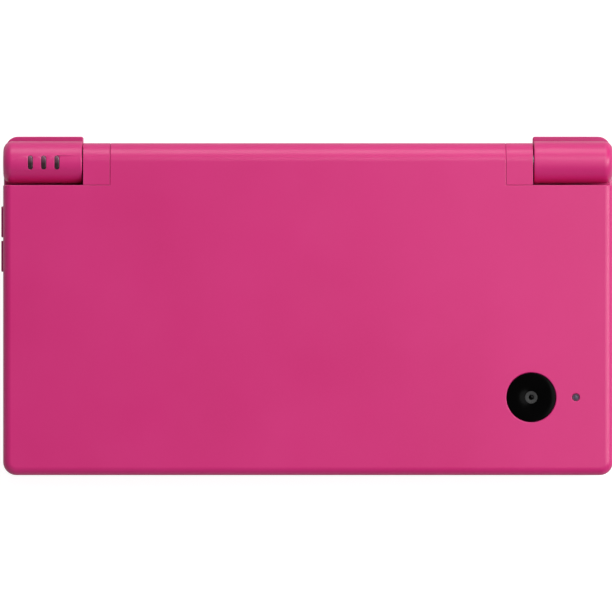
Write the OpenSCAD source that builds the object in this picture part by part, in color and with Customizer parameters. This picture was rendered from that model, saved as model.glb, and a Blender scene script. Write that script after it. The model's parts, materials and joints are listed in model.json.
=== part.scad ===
// Clamshell handheld game console, closed, in millimetres.
// X runs to the right, Y to the hinge at the back and Z up; the origin is the middle of the footprint.

/* [Overall] */
// Width of the closed console
body_w = 137; // [134:1:146]
// Depth from the front edge to the back of the shoulder buttons
body_d = 76.2; // [75.6:0.2:84]
// Wall of the two casings
wall = 1.2; // [1:0.1:1.4]
// Corner radius seen from above
corner_r = 3; // [2.6:0.1:3.6]
// Height that the rubber feet stand proud of the base
foot_proud = 0.4; // [0.3:0.1:1]

/* [Lid] */
// Thickness of the closed lid
lid_h = 7.4; // [7.3:0.1:9]
// Gap between the closed lid and the base
lid_gap = 0.4; // [0.3:0.1:0.8]
// Height of the lid's inner casing
lid_inner_h = 2.5; // [2.3:0.1:2.8]
// Rounding of the lid's outer edge
lid_edge_r = 1.9; // [1:0.1:2.4]
// Depth of the recess round the screen, which clears the buttons
lid_recess = 1; // [0.9:0.1:1.1]
// Width of the rim round that recess
lid_rim_w = 2.2; // [2:0.1:2.6]
// Thickness of the panel round the upper screen
lid_panel_t = 1; // [0.8:0.1:1.1]

/* [Base] */
// Rounding of the base's lower edge
base_edge_r = 2.4; // [1:0.1:2.4]
// Rounding of the edges of lid and base that face each other
inner_edge_r = 0.6; // [0.3:0.1:1]
// Diameter of the rubber feet
foot_d = 7; // [5:0.5:8]
// Inset of the feet from the sides
foot_inset = 13; // [12.5:0.5:15]
// Diameter of a case screw's head
screw_head_d = 3; // [2.6:0.1:3.2]
// Diameter of a case screw's shank
screw_d = 1.6; // [1.4:0.1:1.8]
// Length of a case screw's shank
screw_l = 6.4; // [5.6:0.1:6.6]

/* [Hinge] */
// Distance of the hinge axis from the back of the shoulder buttons
hinge_inset = 5.9; // [5.7:0.1:6.4]
// Radius of the hinge knuckles on the base
knuckle_r = 4.75; // [4.65:0.05:4.9]
// Length of each knuckle
knuckle_l = 17.75; // [17:0.25:18]
// Rounding of the knuckles' outer ends
knuckle_end_r = 2; // [1:0.1:2.2]
// Radius of the lid's barrel
barrel_r = 4.35; // [4.2:0.05:4.4]
// Gap between the barrel and its trough in the base
barrel_gap = 0.35; // [0.3:0.05:0.5]
// Width of each collar between knuckle and barrel
collar_w = 6; // [5:0.25:7]
// Gap at each end of a knuckle
hinge_side_gap = 0.25; // [0.2:0.05:0.4]
// Gap between the knuckles and the edge of the lid
notch_gap = 0.4; // [0.35:0.05:0.6]
// Radius of the hollow sleeve in the left knuckle
sleeve_r = 3; // [2.8:0.1:3.1]
// Bore of that sleeve, for the display ribbon
sleeve_bore_r = 2.2; // [2:0.1:2.3]
// Radius of the shaft in the right knuckle
shaft_r = 1.5; // [1.2:0.1:1.8]
// Running clearance of the hinge, on the radius
hinge_fit = 0.05; // [0.03:0.01:0.08]

/* [Screens] */
// Width of each screen's window
screen_w = 70; // [68:0.5:72]
// Depth of each screen's window
screen_d = 54; // [50:0.5:55]
// Middle of the screens, behind the middle of the lid's plate
screen_shift = 0.75; // [0:0.05:0.8]
// Width by which a display reaches under the edge of its window
display_lap = 1; // [0.6:0.1:1.2]
// Thickness of the touch panel
touch_t = 1; // [0.8:0.1:1.2]
// Depth of the touch panel below the top face
touch_drop = 0.4; // [0.2:0.05:0.4]
// Thickness of the lower display
lower_display_t = 1.4; // [1.2:0.1:1.6]
// Thickness of the upper display
upper_display_t = 1.6; // [1.2:0.1:2]
// Thickness of the plate under the lower display
bracket_t = 0.3; // [0.2:0.1:0.4]

/* [Speakers] */
// Width of each speaker
speaker_w = 16; // [13:0.5:17]
// Length of each speaker
speaker_l = 18; // [14:0.5:20]
// Thickness of each speaker
speaker_t = 2.9; // [2:0.1:3.2]
// Diameter of the sound holes
sound_hole_d = 1.3; // [1:0.1:1.6]
// Distance between the sound holes
sound_hole_pitch = 2.8; // [2.4:0.1:3.2]

/* [Buttons] */
// Diameter of the four face buttons
face_button_d = 7.6; // [7:0.1:8]
// Distance of each face button from the middle of their diamond
diamond_r = 7.6; // [7.2:0.1:8]
// Length across the direction pad
dpad_span = 20; // [19:0.5:21]
// Width of the direction pad's arms
dpad_arm_w = 6.8; // [6:0.1:7.4]
// Middle of the direction pad and of the diamond, from the hinge axis
controls_back = 26.2; // [25.7:0.1:27]
// Diameter of the start, select and power buttons
menu_button_d = 4.8; // [4:0.1:5.2]
// Distance between the start and select buttons
menu_pitch = 8; // [7.4:0.1:8.4]
// Middle of the small buttons, from the front edge
menu_front = 16; // [15.6:0.1:16.6]
// Height of the buttons above the base's top face
button_proud = 0.8; // [0.6:0.1:0.8]
// Travel of a pressed button
button_travel = 0.5; // [0.3:0.05:0.55]
// Clearance round each button
button_gap = 0.15; // [0.12:0.01:0.25]
// Width of each volume key
volume_key_w = 7; // [6:0.1:7.2]
// Height of the volume keys
volume_key_h = 2.6; // [2.2:0.1:2.7]
// Distance that the volume keys stand out of the side
volume_proud = 0.65; // [0.5:0.05:0.8]
// Distance between the volume keys' middles
volume_pitch = 7.75; // [7.6:0.05:8.2]

/* [Shoulder buttons] */
// Width of each shoulder button
shoulder_w = 17.5; // [16.8:0.1:17.6]
// Height of each shoulder button
shoulder_h = 5.4; // [4.6:0.1:5.6]
// Distance that a shoulder button stands out of the back
shoulder_proud = 1.6; // [1.4:0.1:1.7]
// Rounding of a shoulder button's outer corner
shoulder_corner_r = 2.8; // [1:0.1:2.9]
// Radius of the pin that a shoulder button turns on
shoulder_pin_r = 0.7; // [0.6:0.05:0.8]

/* [Card slots and sockets] */
// Width of a game card with its clearance
card_w = 33.6; // [33:0.1:34.5]
// Height of the game card slot
card_h = 4.2; // [4.1:0.1:4.3]
// Depth of the game card slot
card_l = 33; // [31:0.5:33.5]
// Wall of the game card slot
card_wall = 0.25; // [0.2:0.05:0.3]
// Width of a memory card with its clearance
sd_w = 24.4; // [24.2:0.1:25]
// Height of the memory card slot
sd_h = 2.5; // [2.3:0.1:2.7]
// Depth of the memory card slot
sd_l = 28; // [26:0.5:29]
// Bore of the headphone socket
plug_d = 3.6; // [3.5:0.05:3.7]
// Middle of the headphone socket, left of the centre
plug_x = 40; // [36:0.5:44]
// Middle of the charge socket, right of the centre
charge_x = 35; // [33:0.5:38]

/* [Battery] */
// Width of the battery
battery_w = 48; // [44:0.5:49]
// Thickness of the battery
battery_t = 4.8; // [4.2:0.1:4.8]

/* [Stylus] */
// Length of the stylus
stylus_l = 92; // [84:1:94]
// Diameter of the stylus
stylus_d = 4.4; // [4:0.1:4.5]
// Clearance of the stylus in its tube, on the radius
stylus_fit = 0.1; // [0.08:0.01:0.14]
// Wall of the stylus tube
silo_wall = 0.3; // [0.25:0.05:0.35]

/* [Camera] */
// Diameter of the glossy disc over the outer camera
camera_d = 11; // [9:0.1:12]
// Diameter of the outer camera's lens
camera_lens_d = 2.8; // [2.2:0.1:3.4]
// Middle of the outer camera from the right side
camera_inset_x = 18.4; // [17.5:0.1:19]
// Middle of the outer camera from the front
camera_inset_y = 17.5; // [16:0.1:18]
// Distance from the lens to the camera light
camera_light_pitch = 10; // [9:0.1:11]
// Diameter of the camera light
camera_light_d = 1.6; // [1.2:0.1:2]

/* [Hidden] */
$fn = 64;

// Colours
pink = [0.85, 0.26, 0.5];
pink_dark = [0.74, 0.18, 0.42];
soft_black = [0.1, 0.1, 0.11];
glass_black = [0.03, 0.03, 0.04];
button_grey = [0.2, 0.19, 0.21];
steel = [0.7, 0.71, 0.73];
copper_green = [0.08, 0.35, 0.2];
rubber = [0.3, 0.3, 0.31];
smoke = [0.25, 0.26, 0.28];

// Small clearances
seat = 0.05;
door_gap = 0.15;
slack = 0.3;
over = 1;

// Length by which a rounded corner laps into the straight sides
corner_lap = 0.5;

// Plan of the body
half_w = body_w / 2;
front_y = -body_d / 2;
back_y = body_d / 2;
hinge_y = back_y - hinge_inset;
base_back_y = back_y - shoulder_proud;
notch_y = hinge_y - knuckle_r - notch_gap;
knuckle_x = half_w - knuckle_l;
collar_x = knuckle_x - hinge_side_gap;
barrel_x = collar_x - collar_w;
in_w = half_w - wall;
in_front = front_y + wall;
in_back = base_back_y - wall;

// Heights of the base, from the floor up
base_z0 = foot_proud;
floor_z = base_z0 + wall;
slot_z0 = floor_z + seat + card_wall;
slot_z1 = slot_z0 + card_h;
part_z = slot_z1 + 2 * seat;
cover_t = wall - 0.2;
cover_top = base_z0 + cover_t;
board_t = 0.8;
board_z0 = max(cover_top + 2 * seat + battery_t, slot_z1 + card_wall) + 3 * seat;
board_z1 = board_z0 + board_t;
bracket_z0 = board_z1 + 3 * seat;
display_z0 = bracket_z0 + bracket_t + seat;
touch_z0 = display_z0 + lower_display_t + 2 * seat;
base_z1 = touch_z0 + touch_t + touch_drop;
ceiling_z = base_z1 - wall;

// Heights of the lid
lid_z0 = base_z1 + lid_gap;
lid_z1 = lid_z0 + lid_h;
lid_part_z = lid_z0 + lid_inner_h;
face_z = lid_z0 + lid_recess;
panel_z = face_z + lid_panel_t;
roof_z = lid_z1 - wall;
hinge_z = lid_z1 - barrel_r;
trough_r = barrel_r + barrel_gap;

// Places of the screens and controls
screen_y = (front_y + notch_y) / 2 + screen_shift;
control_x = (half_w + screen_w / 2) / 2;
speaker_y = screen_y + 2;
control_y = hinge_y - controls_back;
menu_y = front_y + menu_front;
button_top = base_z1 + button_proud;
flange_t = 0.45;
flange_z1 = ceiling_z - 2 * seat;
flange_z0 = flange_z1 - flange_t;
sheet_t = 0.3;
sheet_z0 = board_z1 + seat;
sheet_z1 = sheet_z0 + sheet_t;
dome_z1 = flange_z0 - button_travel - 2 * seat;
face_sheet = diamond_r + face_button_d / 2 - 0.4;
menu_sheet = menu_button_d / 2 + 1;
face_places = [[1, 0], [0, -1], [0, 1], [-1, 0]];
menu_places = [[control_x, menu_y + menu_pitch / 2], [control_x, menu_y - menu_pitch / 2], [-control_x, menu_y]];

// Direction pad
dpad_gap = 0.4;
dpad_flange_r = dpad_span / 2 + 0.9;
dpad_flange_z1 = ceiling_z - 0.75;
dpad_flange_z0 = dpad_flange_z1 - 0.3;
dpad_dome_z1 = dpad_flange_z0 - 0.55;
dpad_dome_r = 2.2;
dpad_dome_out = dpad_span / 2 - 3.4;
dpad_sheet_r = dpad_dome_out + dpad_dome_r + 0.6;
nub_r = 1.2;
nub_z = board_z1 + sheet_t + seat + nub_r;
socket_r = nub_r + 0.35;

// Headphone socket and stylus
plug_body_h = 4.8;
plug_body_w = 6;
plug_body_l = 12;
plug_z = board_z0 - 2 * seat - plug_body_h / 2;
plug_nose_r = 2.35;
stylus_r = stylus_d / 2;
silo_bore_r = stylus_r + stylus_fit;
silo_r = silo_bore_r + silo_wall;
stylus_y = in_front + silo_r + seat;
stylus_z = floor_z + silo_r + 3 * seat;
stylus_x1 = half_w - 0.15;
stylus_x0 = stylus_x1 - stylus_l;

// Screws
boss_r = screw_head_d / 2 + 0.85;
case_screw_x = half_w - 6;
case_screw_front = stylus_y + silo_r + boss_r + 1.3;
case_screw_back = notch_y - 2.6;
case_screw_mid_x = card_w / 2 + 7.7;
case_screw_mid_y = in_back - 4.8;
case_screw_places = [
    [case_screw_x, case_screw_front], [-case_screw_x, case_screw_front],
    [case_screw_x, case_screw_back], [-case_screw_x, case_screw_back],
    [case_screw_mid_x, case_screw_mid_y], [-case_screw_mid_x, case_screw_mid_y]
];
head_t = 0.8;
head_gap = 0.2;
screw_seat_z = floor_z + 0.5;
boss_split_z = part_z;
lid_screw_inset = 5.4;
lid_screw_x = half_w - lid_screw_inset;
lid_screw_places = [
    [lid_screw_x, front_y + lid_screw_inset], [-lid_screw_x, front_y + lid_screw_inset],
    [lid_screw_x, notch_y - lid_screw_inset], [-lid_screw_x, notch_y - lid_screw_inset]
];
lid_seat_z = panel_z + 0.2;
lid_screw_l = roof_z - lid_seat_z - 0.4;

// Board, and the battery with its cover
board_front = stylus_y + silo_r + slack;
board_post_r = 1.5;
board_post_x = screen_w / 2 - 1.4;
board_post_places = [screen_y - 16, screen_y + 18];
cover_margin = 2;
ledge_w = 3.6;
cover_x = battery_w / 2 + slack + ledge_w;
cover_screw_x = battery_w / 2 + slack + ledge_w / 2 + 0.2;
cover_screw_l = 3;
cover_head_t = 0.5;
card_front = base_back_y - card_l;
bay_front = stylus_y + silo_r + cover_margin;
bay_back = card_front - card_wall - cover_margin;
battery_d = bay_back - bay_front - 2 * slack;
cover_screw_y = (bay_front + bay_back) / 2 - 8;

// Volume keys
volume_z0 = part_z + 0.15;
volume_z1 = volume_z0 + volume_key_h;
volume_y = control_y + 9;
volume_flange = 0.6;
volume_flange_x = -in_w + 0.1;
volume_switch_t = 0.8;
volume_switch_w = 2.8;
volume_board_t = 0.5;
volume_board_x = volume_flange_x + volume_flange + button_travel + 0.15 + volume_switch_t;
volume_places = [volume_y + volume_pitch / 2, volume_y - volume_pitch / 2];

// Chips and radio under the main board
chip_x = battery_w / 2 + 1;
chip_w = 9;
chip_d = 11;
chip_t = 1.1;
radio_x = volume_board_x + volume_board_t + 0.9;
radio_w = 18;
radio_d = 14;
radio_t = 1.7;

// Charge socket and memory card slot
charge_w = 8.4;
charge_h = 3.6;
charge_l = 8;
charge_wall = 0.5;
charge_tongue_w = 5.2;
charge_tongue_t = 0.7;
charge_z = board_z0 - seat - charge_h / 2;
sd_wall = 0.3;
sd_z1 = board_z0 - seat - sd_wall;
sd_z0 = sd_z1 - sd_h;
sd_y0 = control_y - sd_w / 2;
sd_y1 = control_y + sd_w / 2;
sd_x1 = in_w - 0.4;
sd_door_t = 1.2;
sd_door_axis_x = half_w - sd_door_t / 2;
sd_door_pin_r = 0.3;
sd_door_axis_z = sd_z0 - 0.45;
sd_door_top = sd_z1 + 0.15;
sd_door_y0 = sd_y0 - 0.6;
sd_door_y1 = sd_y1 + 0.6;

// Shoulder buttons, as on the right side
shoulder_x1 = half_w - slack;
shoulder_x0 = shoulder_x1 - shoulder_w;
shoulder_z0 = base_z0 + 2.9;
shoulder_z1 = shoulder_z0 + shoulder_h;
shoulder_t = 3;
shoulder_swing = 1.6;
shoulder_pin_x = shoulder_x0 + 2;
shoulder_pin_y = back_y - shoulder_t - 1.2;
shoulder_eye_r = shoulder_pin_r + 0.9;
shoulder_mid_z = (shoulder_z0 + shoulder_z1) / 2;
coil_h = 1;
spring_leg_l = 4;
spring_leg_t = 0.4;
switch_w = 5;
switch_x = shoulder_x1 - 7.2;
switch_stem = 1.7;
switch_y = back_y - shoulder_t - 1.5 - switch_stem;
switch_z = board_z0 - 0.1;

// Display ribbon
ribbon_r = sleeve_bore_r - 0.5;
ribbon_w = 8;
ribbon_t = 0.2;
ribbon_x0 = -barrel_x + 5;
ribbon_x1 = ribbon_x0 + ribbon_w;
ribbon_z = hinge_z + 0.9;

// Camera
camera_x = half_w - camera_inset_x;
camera_y = front_y + camera_inset_y;
camera_pocket = 0.65;
camera_block_w = 8.4;
camera_block_h = 3.6;
camera_barrel_r = 2.6;
camera_light_x = camera_x + camera_light_pitch;
inner_camera_r = 1.42;
inner_camera_half = 1.8;
barrel_bore_r = barrel_r - wall;
inner_camera_z0 = hinge_z - sqrt(pow(barrel_bore_r, 2) - pow(inner_camera_half, 2)) + seat;
microphone_x = 9;
microphone_r = 0.9;
microphone_z0 = hinge_z - sqrt(pow(barrel_bore_r, 2) - pow(microphone_r, 2)) + seat;

// Indicator windows in the left knuckle
window_pitch = 2.98;
window_w = 1.06;
window_l = 3.05;
window_y = hinge_y - 0.1;
window_places = [for (i = [-1:1]) -half_w + 9.14 + i * window_pitch];
led_board_x0 = -half_w + 4;
led_board_x1 = -half_w + 12.4;

// Points of an arc; a radius of nought gives its centre alone
function arc(cx, cy, r, from, to, steps = 8) = r <= 0 ? [[cx, cy]] :
    [for (i = [0:steps]) let (a = from + (to - from) * i / steps) [cx + r * cos(a), cy + r * sin(a)]];

// Rectangle with one radius for its two lower corners and one for its two upper corners
function section(u0, u1, v0, v1, low, high) = concat(
    arc(u0 + low, v0 + low, low, 180, 270),
    arc(u1 - low, v0 + low, low, 270, 360),
    arc(u1 - high, v1 - high, high, 0, 90),
    arc(u0 + high, v1 - high, high, 90, 180)
);

// Half of such a rectangle, from its middle line out
function half_section(r, v0, v1, low, high) = concat(
    [[0, v0]],
    arc(r - low, v0 + low, low, 270, 360),
    arc(r - high, v1 - high, high, 0, 90),
    [[0, v1]]
);

module along_x(x0, x1) translate([x0, 0, 0]) rotate([90, 0, 90]) linear_extrude(x1 - x0) children();

module along_y(y0, y1) translate([0, y1, 0]) rotate([90, 0, 0]) linear_extrude(y1 - y0) children();

module block(x0, x1, y0, y1, z0, z1) translate([x0, y0, z0]) cube([x1 - x0, y1 - y0, z1 - z0]);

module plate(x0, x1, y0, y1, z0, z1, r)
    translate([0, 0, z0]) linear_extrude(z1 - z0) polygon(section(x0, x1, y0, y1, r, r));

module rod_x(x0, x1, y, z, r) translate([x0, y, z]) rotate([0, 90, 0]) cylinder(h = x1 - x0, r = r);

module rod_y(y0, y1, x, z, r) translate([x, y1, z]) rotate([90, 0, 0]) cylinder(h = y1 - y0, r = r);

module rod_z(x, y, z0, z1, r) translate([x, y, z0]) cylinder(h = z1 - z0, r = r);

module mirrored() {
    children();
    mirror([1, 0, 0]) children();
}

// Slab with rounded corners and separately rounded lower and upper edges
module slab(x0, x1, y0, y1, z0, z1, corner, low, high) {
    along_x(x0 + corner, x1 - corner) polygon(section(y0, y1, z0, z1, low, high));
    along_y(y0 + corner, y1 - corner) polygon(section(x0, x1, z0, z1, low, high));
    slab_corner(x1 - corner, y1 - corner, 0, z0, z1, corner, low, high);
    slab_corner(x0 + corner, y1 - corner, 90, z0, z1, corner, low, high);
    slab_corner(x0 + corner, y0 + corner, 180, z0, z1, corner, low, high);
    slab_corner(x1 - corner, y0 + corner, 270, z0, z1, corner, low, high);
}

// Quarter turn of the edge, with a short straight run at each end that laps into the sides
module slab_corner(x, y, turn, z0, z1, corner, low, high) translate([x, y, 0]) rotate(turn) {
    rotate_extrude(angle = 90) polygon(half_section(corner, z0, z1, low, high));
    rotate([90, 0, 0]) linear_extrude(corner_lap) polygon(half_section(corner, z0, z1, low, high));
    translate([-corner_lap, 0, 0]) rotate([90, 0, 90]) linear_extrude(corner_lap)
        polygon(half_section(corner, z0, z1, low, high));
}

// Everything that is cut through the walls of the base
module base_cuts() {
    block(-card_w / 2, card_w / 2, card_front, back_y, slot_z0, part_z + seat);
    block(charge_x - charge_w / 2 - seat, charge_x + charge_w / 2 + seat, in_back - over, back_y,
        charge_z - charge_h / 2 - seat, charge_z + charge_h / 2 + seat);
    rod_y(front_y - over, in_front + over, -plug_x, plug_z, plug_nose_r + 2 * seat);
    rod_x(in_w - over, half_w + over, stylus_y, stylus_z, silo_bore_r);
    block(in_w - over, half_w + over, sd_door_y0 - 0.2, sd_door_y1 + 0.2,
        sd_door_axis_z - sd_door_t / 2 - 0.2, sd_door_top + 0.2);
    rod_y(sd_door_y0 - 1.2, sd_door_y1 + 1.2, sd_door_axis_x, sd_door_axis_z, sd_door_pin_r + 0.03);
    mirrored() block(shoulder_x0 - slack, half_w + over, back_y - shoulder_t - shoulder_swing, back_y + over,
        shoulder_z0 - slack, shoulder_z1 + slack);
    for (y = volume_places) block(-half_w - over, -in_w + over, y - volume_key_w / 2 - button_gap,
        y + volume_key_w / 2 + button_gap, part_z - seat, volume_z1 + button_gap);
}

module base_bottom_shell() color(pink) difference() {
    union() {
        difference() {
            slab(-half_w, half_w, front_y, base_back_y, base_z0, part_z, corner_r, base_edge_r, 0);
            slab(-in_w, in_w, in_front, in_back, floor_z, part_z + over, corner_r - wall, 0, 0);
            plate(-cover_x - door_gap, cover_x + door_gap, bay_front - door_gap, bay_back + door_gap,
                base_z0 - over, floor_z + over, 1);
        }
        mirrored() block(battery_w / 2 + slack, cover_x + 1.6, bay_front + 1, bay_back - 1,
            cover_top + seat, floor_z + 1);
        mirrored() rod_z(cover_screw_x, cover_screw_y, floor_z, floor_z + 2.6, 1.6);
        for (p = case_screw_places) rod_z(p[0], p[1], base_z0 + wall / 2, boss_split_z, boss_r);
        mirrored() for (y = board_post_places)
            rod_z(board_post_x, y, floor_z - wall / 2, board_z0 - seat, board_post_r);
        mirrored() block(shoulder_pin_x - 2, shoulder_pin_x + 2, shoulder_pin_y - 2, in_back + 0.2,
            floor_z - wall / 2, shoulder_z0 - slack);
    }
    base_cuts();
    for (p = case_screw_places) {
        rod_z(p[0], p[1], base_z0 - over, screw_seat_z, screw_head_d / 2 + head_gap);
        rod_z(p[0], p[1], base_z0, boss_split_z + over, screw_d / 2 + 0.1);
    }
    mirrored() rod_z(cover_screw_x, cover_screw_y, base_z0, floor_z + over * 4, screw_d / 2 + seat);
    mirrored() rod_z(shoulder_pin_x, shoulder_pin_y, floor_z + 0.2, shoulder_z0, shoulder_pin_r + 0.02);
    for (x = [-1, 1], y = [-1, 1]) foot_at(x, y, foot_d / 2 + seat, base_z0 - over, base_z0 + 0.6);
}

// Knuckle on the right side, with its outer end rounded
module knuckle() translate([half_w, hinge_y, hinge_z]) rotate([0, -90, 0]) rotate_extrude()
    polygon(half_section(knuckle_r, 0, knuckle_l, knuckle_end_r, 0.3));

module base_top_shell() color(pink) difference() {
    union() {
        difference() {
            slab(-half_w, half_w, front_y, base_back_y, part_z, base_z1, corner_r, 0, inner_edge_r);
            slab(-in_w, in_w, in_front, in_back, part_z - over, ceiling_z, corner_r - wall, 0, 0.4);
        }
        mirrored() knuckle();
        intersection() {
            rod_x(-knuckle_x, knuckle_x, hinge_y, hinge_z, trough_r + 0.9);
            block(-half_w, half_w, front_y, base_back_y, part_z, base_z1);
        }
        for (p = case_screw_places) rod_z(p[0], p[1], boss_split_z + 2 * seat, ceiling_z + wall / 2, boss_r - 0.4);
        mirrored() rod_z(shoulder_pin_x, shoulder_pin_y, shoulder_z1 + slack, ceiling_z + wall / 2, 1.6);
    }
    base_cuts();
    rod_x(-knuckle_x, knuckle_x, hinge_y, hinge_z, trough_r);
    block(-knuckle_x, knuckle_x, hinge_y, base_back_y + over, hinge_z - barrel_r + 0.65, base_z1 + over);
    window_cut(screen_y, part_z, base_z1 + over);
    for (p = face_places)
        rod_z(control_x + p[0] * diamond_r, control_y + p[1] * diamond_r, ceiling_z - over, base_z1 + over,
            face_button_d / 2 + button_gap);
    for (p = menu_places) rod_z(p[0], p[1], ceiling_z - over, base_z1 + over, menu_button_d / 2 + button_gap);
    cross(-control_x, control_y, dpad_span / 2 + dpad_gap, dpad_arm_w / 2 + dpad_gap, ceiling_z - over,
        base_z1 + over);
    for (p = case_screw_places) rod_z(p[0], p[1], part_z - 2 * over, ceiling_z - 0.4, screw_d / 2 + 0.03);
    mirrored() rod_z(shoulder_pin_x, shoulder_pin_y, shoulder_z1, ceiling_z, shoulder_pin_r + 0.02);
    rod_x(-half_w + 2.1, -knuckle_x + over, hinge_y, hinge_z, sleeve_r + 0.03);
    rod_x(knuckle_x - over, half_w - 4, hinge_y, hinge_z, shaft_r + 0.03);
    for (x = window_places) pill(x, hinge_z, lid_z1 + over, window_w / 2 + 0.03, window_l / 2 + 0.03);
}

// Cross of two arms, upright
module cross(x, y, reach, half_arm, z0, z1) {
    block(x - reach, x + reach, y - half_arm, y + half_arm, z0, z1);
    block(x - half_arm, x + half_arm, y - reach, y + reach, z0, z1);
}

// Upright pill that lies front to back
module pill(x, z0, z1, half_width, half_length) translate([x, window_y, z0]) linear_extrude(z1 - z0)
    polygon(section(-half_width, half_width, -half_length, half_length, half_width * 0.96, half_width * 0.96));

module window_cut(y, z0, z1) plate(-screen_w / 2 - door_gap, screen_w / 2 + door_gap,
    y - screen_d / 2 - door_gap, y + screen_d / 2 + door_gap, z0, z1, 1);

module foot_at(side, end, r, z0, z1)
    rod_z(side * (half_w - foot_inset), end > 0 ? notch_y - foot_inset + 4 : front_y + foot_inset, z0, z1, r);

module rubber_feet() color(rubber) for (x = [-1, 1], y = [-1, 1]) foot_at(x, y, foot_d / 2, 0, base_z0 + 0.6);

module battery_cover() color(pink) difference() {
    plate(-cover_x, cover_x, bay_front, bay_back, base_z0, cover_top, 0.9);
    mirrored() rod_z(cover_screw_x, cover_screw_y, base_z0 - over, floor_z, screw_d / 2 + 0.1);
    mirrored() rod_z(cover_screw_x, cover_screw_y, base_z0 - over, base_z0 + cover_head_t + seat,
        screw_head_d / 2 + 0.1);
}

module battery_pack() color([0.85, 0.85, 0.83])
    plate(-battery_w / 2, battery_w / 2, bay_front + slack, bay_front + slack + battery_d,
        cover_top + 2 * seat, cover_top + 2 * seat + battery_t, 1.2);

// Pan-head screw, head down, with a cross slot
module screw(x, y, seat_z, length, head_h, slot_d) difference() {
    union() {
        rod_z(x, y, seat_z - head_h, seat_z, screw_head_d / 2);
        rod_z(x, y, seat_z - seat, seat_z + length, screw_d / 2);
    }
    cross(x, y, screw_head_d * 0.33, 0.2, seat_z - head_h - over, seat_z - head_h + slot_d);
}

module battery_cover_screws() color(steel) mirrored()
    screw(cover_screw_x, cover_screw_y, base_z0 + cover_head_t + seat, cover_screw_l, cover_head_t, 0.3);

module case_screws() color(steel) for (p = case_screw_places)
    screw(p[0], p[1], screw_seat_z, screw_l, head_t, 0.45);

module main_board() color(copper_green) difference() {
    plate(-in_w + 3, in_w - 2.2, board_front, notch_y + 0.6, board_z0, board_z1, 2);
    for (p = case_screw_places) rod_z(p[0], p[1], board_z0 - over, board_z1 + over, boss_r + slack);
}

module board_chips() color(soft_black) {
    plate(-chip_x - chip_w, -chip_x, screen_y - chip_d / 2, screen_y + chip_d / 2, board_z0 - seat - chip_t,
        board_z0 - seat, 0.3);
    plate(chip_x, chip_x + chip_w, screen_y - chip_d, screen_y - seat, board_z0 - seat - chip_t, board_z0 - seat, 0.3);
}

module radio_module() color(steel)
    plate(radio_x, radio_x + radio_w, control_y - radio_d / 2, control_y + radio_d / 2, board_z0 - seat - radio_t,
        board_z0 - seat, 0.5);

module game_card_slot() color(steel) difference() {
    block(-card_w / 2 - card_wall, card_w / 2 + card_wall, card_front - card_wall, in_back - seat,
        slot_z0 - card_wall, slot_z1 + card_wall);
    block(-card_w / 2, card_w / 2, card_front, back_y, slot_z0, slot_z1);
}

module sd_card_slot() color(steel) difference() {
    block(sd_x1 - sd_l, sd_x1, sd_y0 - sd_wall, sd_y1 + sd_wall, sd_z0 - sd_wall, sd_z1 + sd_wall);
    block(sd_x1 - sd_l + sd_wall, half_w, sd_y0, sd_y1, sd_z0, sd_z1);
}

module sd_card_door() color(pink_dark) difference() {
    union() {
        block(half_w - sd_door_t, half_w, sd_door_y0, sd_door_y1, sd_door_axis_z, sd_door_top);
        rod_y(sd_door_y0, sd_door_y1, sd_door_axis_x, sd_door_axis_z, sd_door_t / 2);
    }
    rod_y(sd_door_y0 - over, sd_door_y1 + over, sd_door_axis_x, sd_door_axis_z, sd_door_pin_r + 0.04);
}

module sd_door_pin() color(steel)
    rod_y(sd_door_y0 - 1.1, sd_door_y1 + 1.1, sd_door_axis_x, sd_door_axis_z, sd_door_pin_r);

module charge_socket() color(soft_black) difference() {
    block(charge_x - charge_w / 2, charge_x + charge_w / 2, base_back_y - charge_l, base_back_y - 0.3,
        charge_z - charge_h / 2, charge_z + charge_h / 2);
    difference() {
        block(charge_x - charge_w / 2 + charge_wall, charge_x + charge_w / 2 - charge_wall,
            base_back_y - charge_l + 3 * charge_wall, back_y, charge_z - charge_h / 2 + charge_wall,
            charge_z + charge_h / 2 - charge_wall);
        block(charge_x - charge_tongue_w / 2, charge_x + charge_tongue_w / 2, base_back_y - charge_l,
            base_back_y - 1.4, charge_z - charge_tongue_t / 2, charge_z + charge_tongue_t / 2);
    }
}

module headphone_jack() color(soft_black) difference() {
    union() {
        block(-plug_x - plug_body_w / 2, -plug_x + plug_body_w / 2, in_front + seat, in_front + plug_body_l,
            plug_z - plug_body_h / 2, plug_z + plug_body_h / 2);
        rod_y(front_y + 0.4, in_front + 1, -plug_x, plug_z, plug_nose_r);
    }
    rod_y(front_y - over, in_front + plug_body_l - 1, -plug_x, plug_z, plug_d / 2);
}

module touch_panel() color(glass_black)
    plate(-screen_w / 2, screen_w / 2, screen_y - screen_d / 2, screen_y + screen_d / 2, touch_z0,
        touch_z0 + touch_t, 0.9);

module display_plate(y, z0, z1, r) plate(-screen_w / 2 - display_lap, screen_w / 2 + display_lap,
    y - screen_d / 2 - display_lap, y + screen_d / 2 + display_lap, z0, z1, r);

module lower_display() color(smoke) display_plate(screen_y, display_z0, display_z0 + lower_display_t, 0.8);

module display_bracket() color(steel) difference() {
    display_plate(screen_y, bracket_z0, bracket_z0 + bracket_t, 0.8);
    for (x = [-1, 1]) plate(x * 17 - 12, x * 17 + 12, screen_y - 18, screen_y + 18, bracket_z0 - over,
        display_z0, 3);
}

module dpad() color(button_grey) difference() {
    union() {
        intersection() {
            cross(-control_x, control_y, dpad_span / 2, dpad_arm_w / 2, dpad_flange_z1 - seat, button_top + 0.1);
            translate([-control_x, control_y, 0]) rotate_extrude()
                polygon(half_section(dpad_span / 2 + 0.1, ceiling_z - over, button_top, 0, 0.5));
        }
        rod_z(-control_x, control_y, dpad_flange_z0, dpad_flange_z1, dpad_flange_r);
    }
    translate([-control_x, control_y, button_top + 7]) sphere(r = 7.35);
    translate([-control_x, control_y, nub_z]) sphere(r = socket_r);
}

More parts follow.
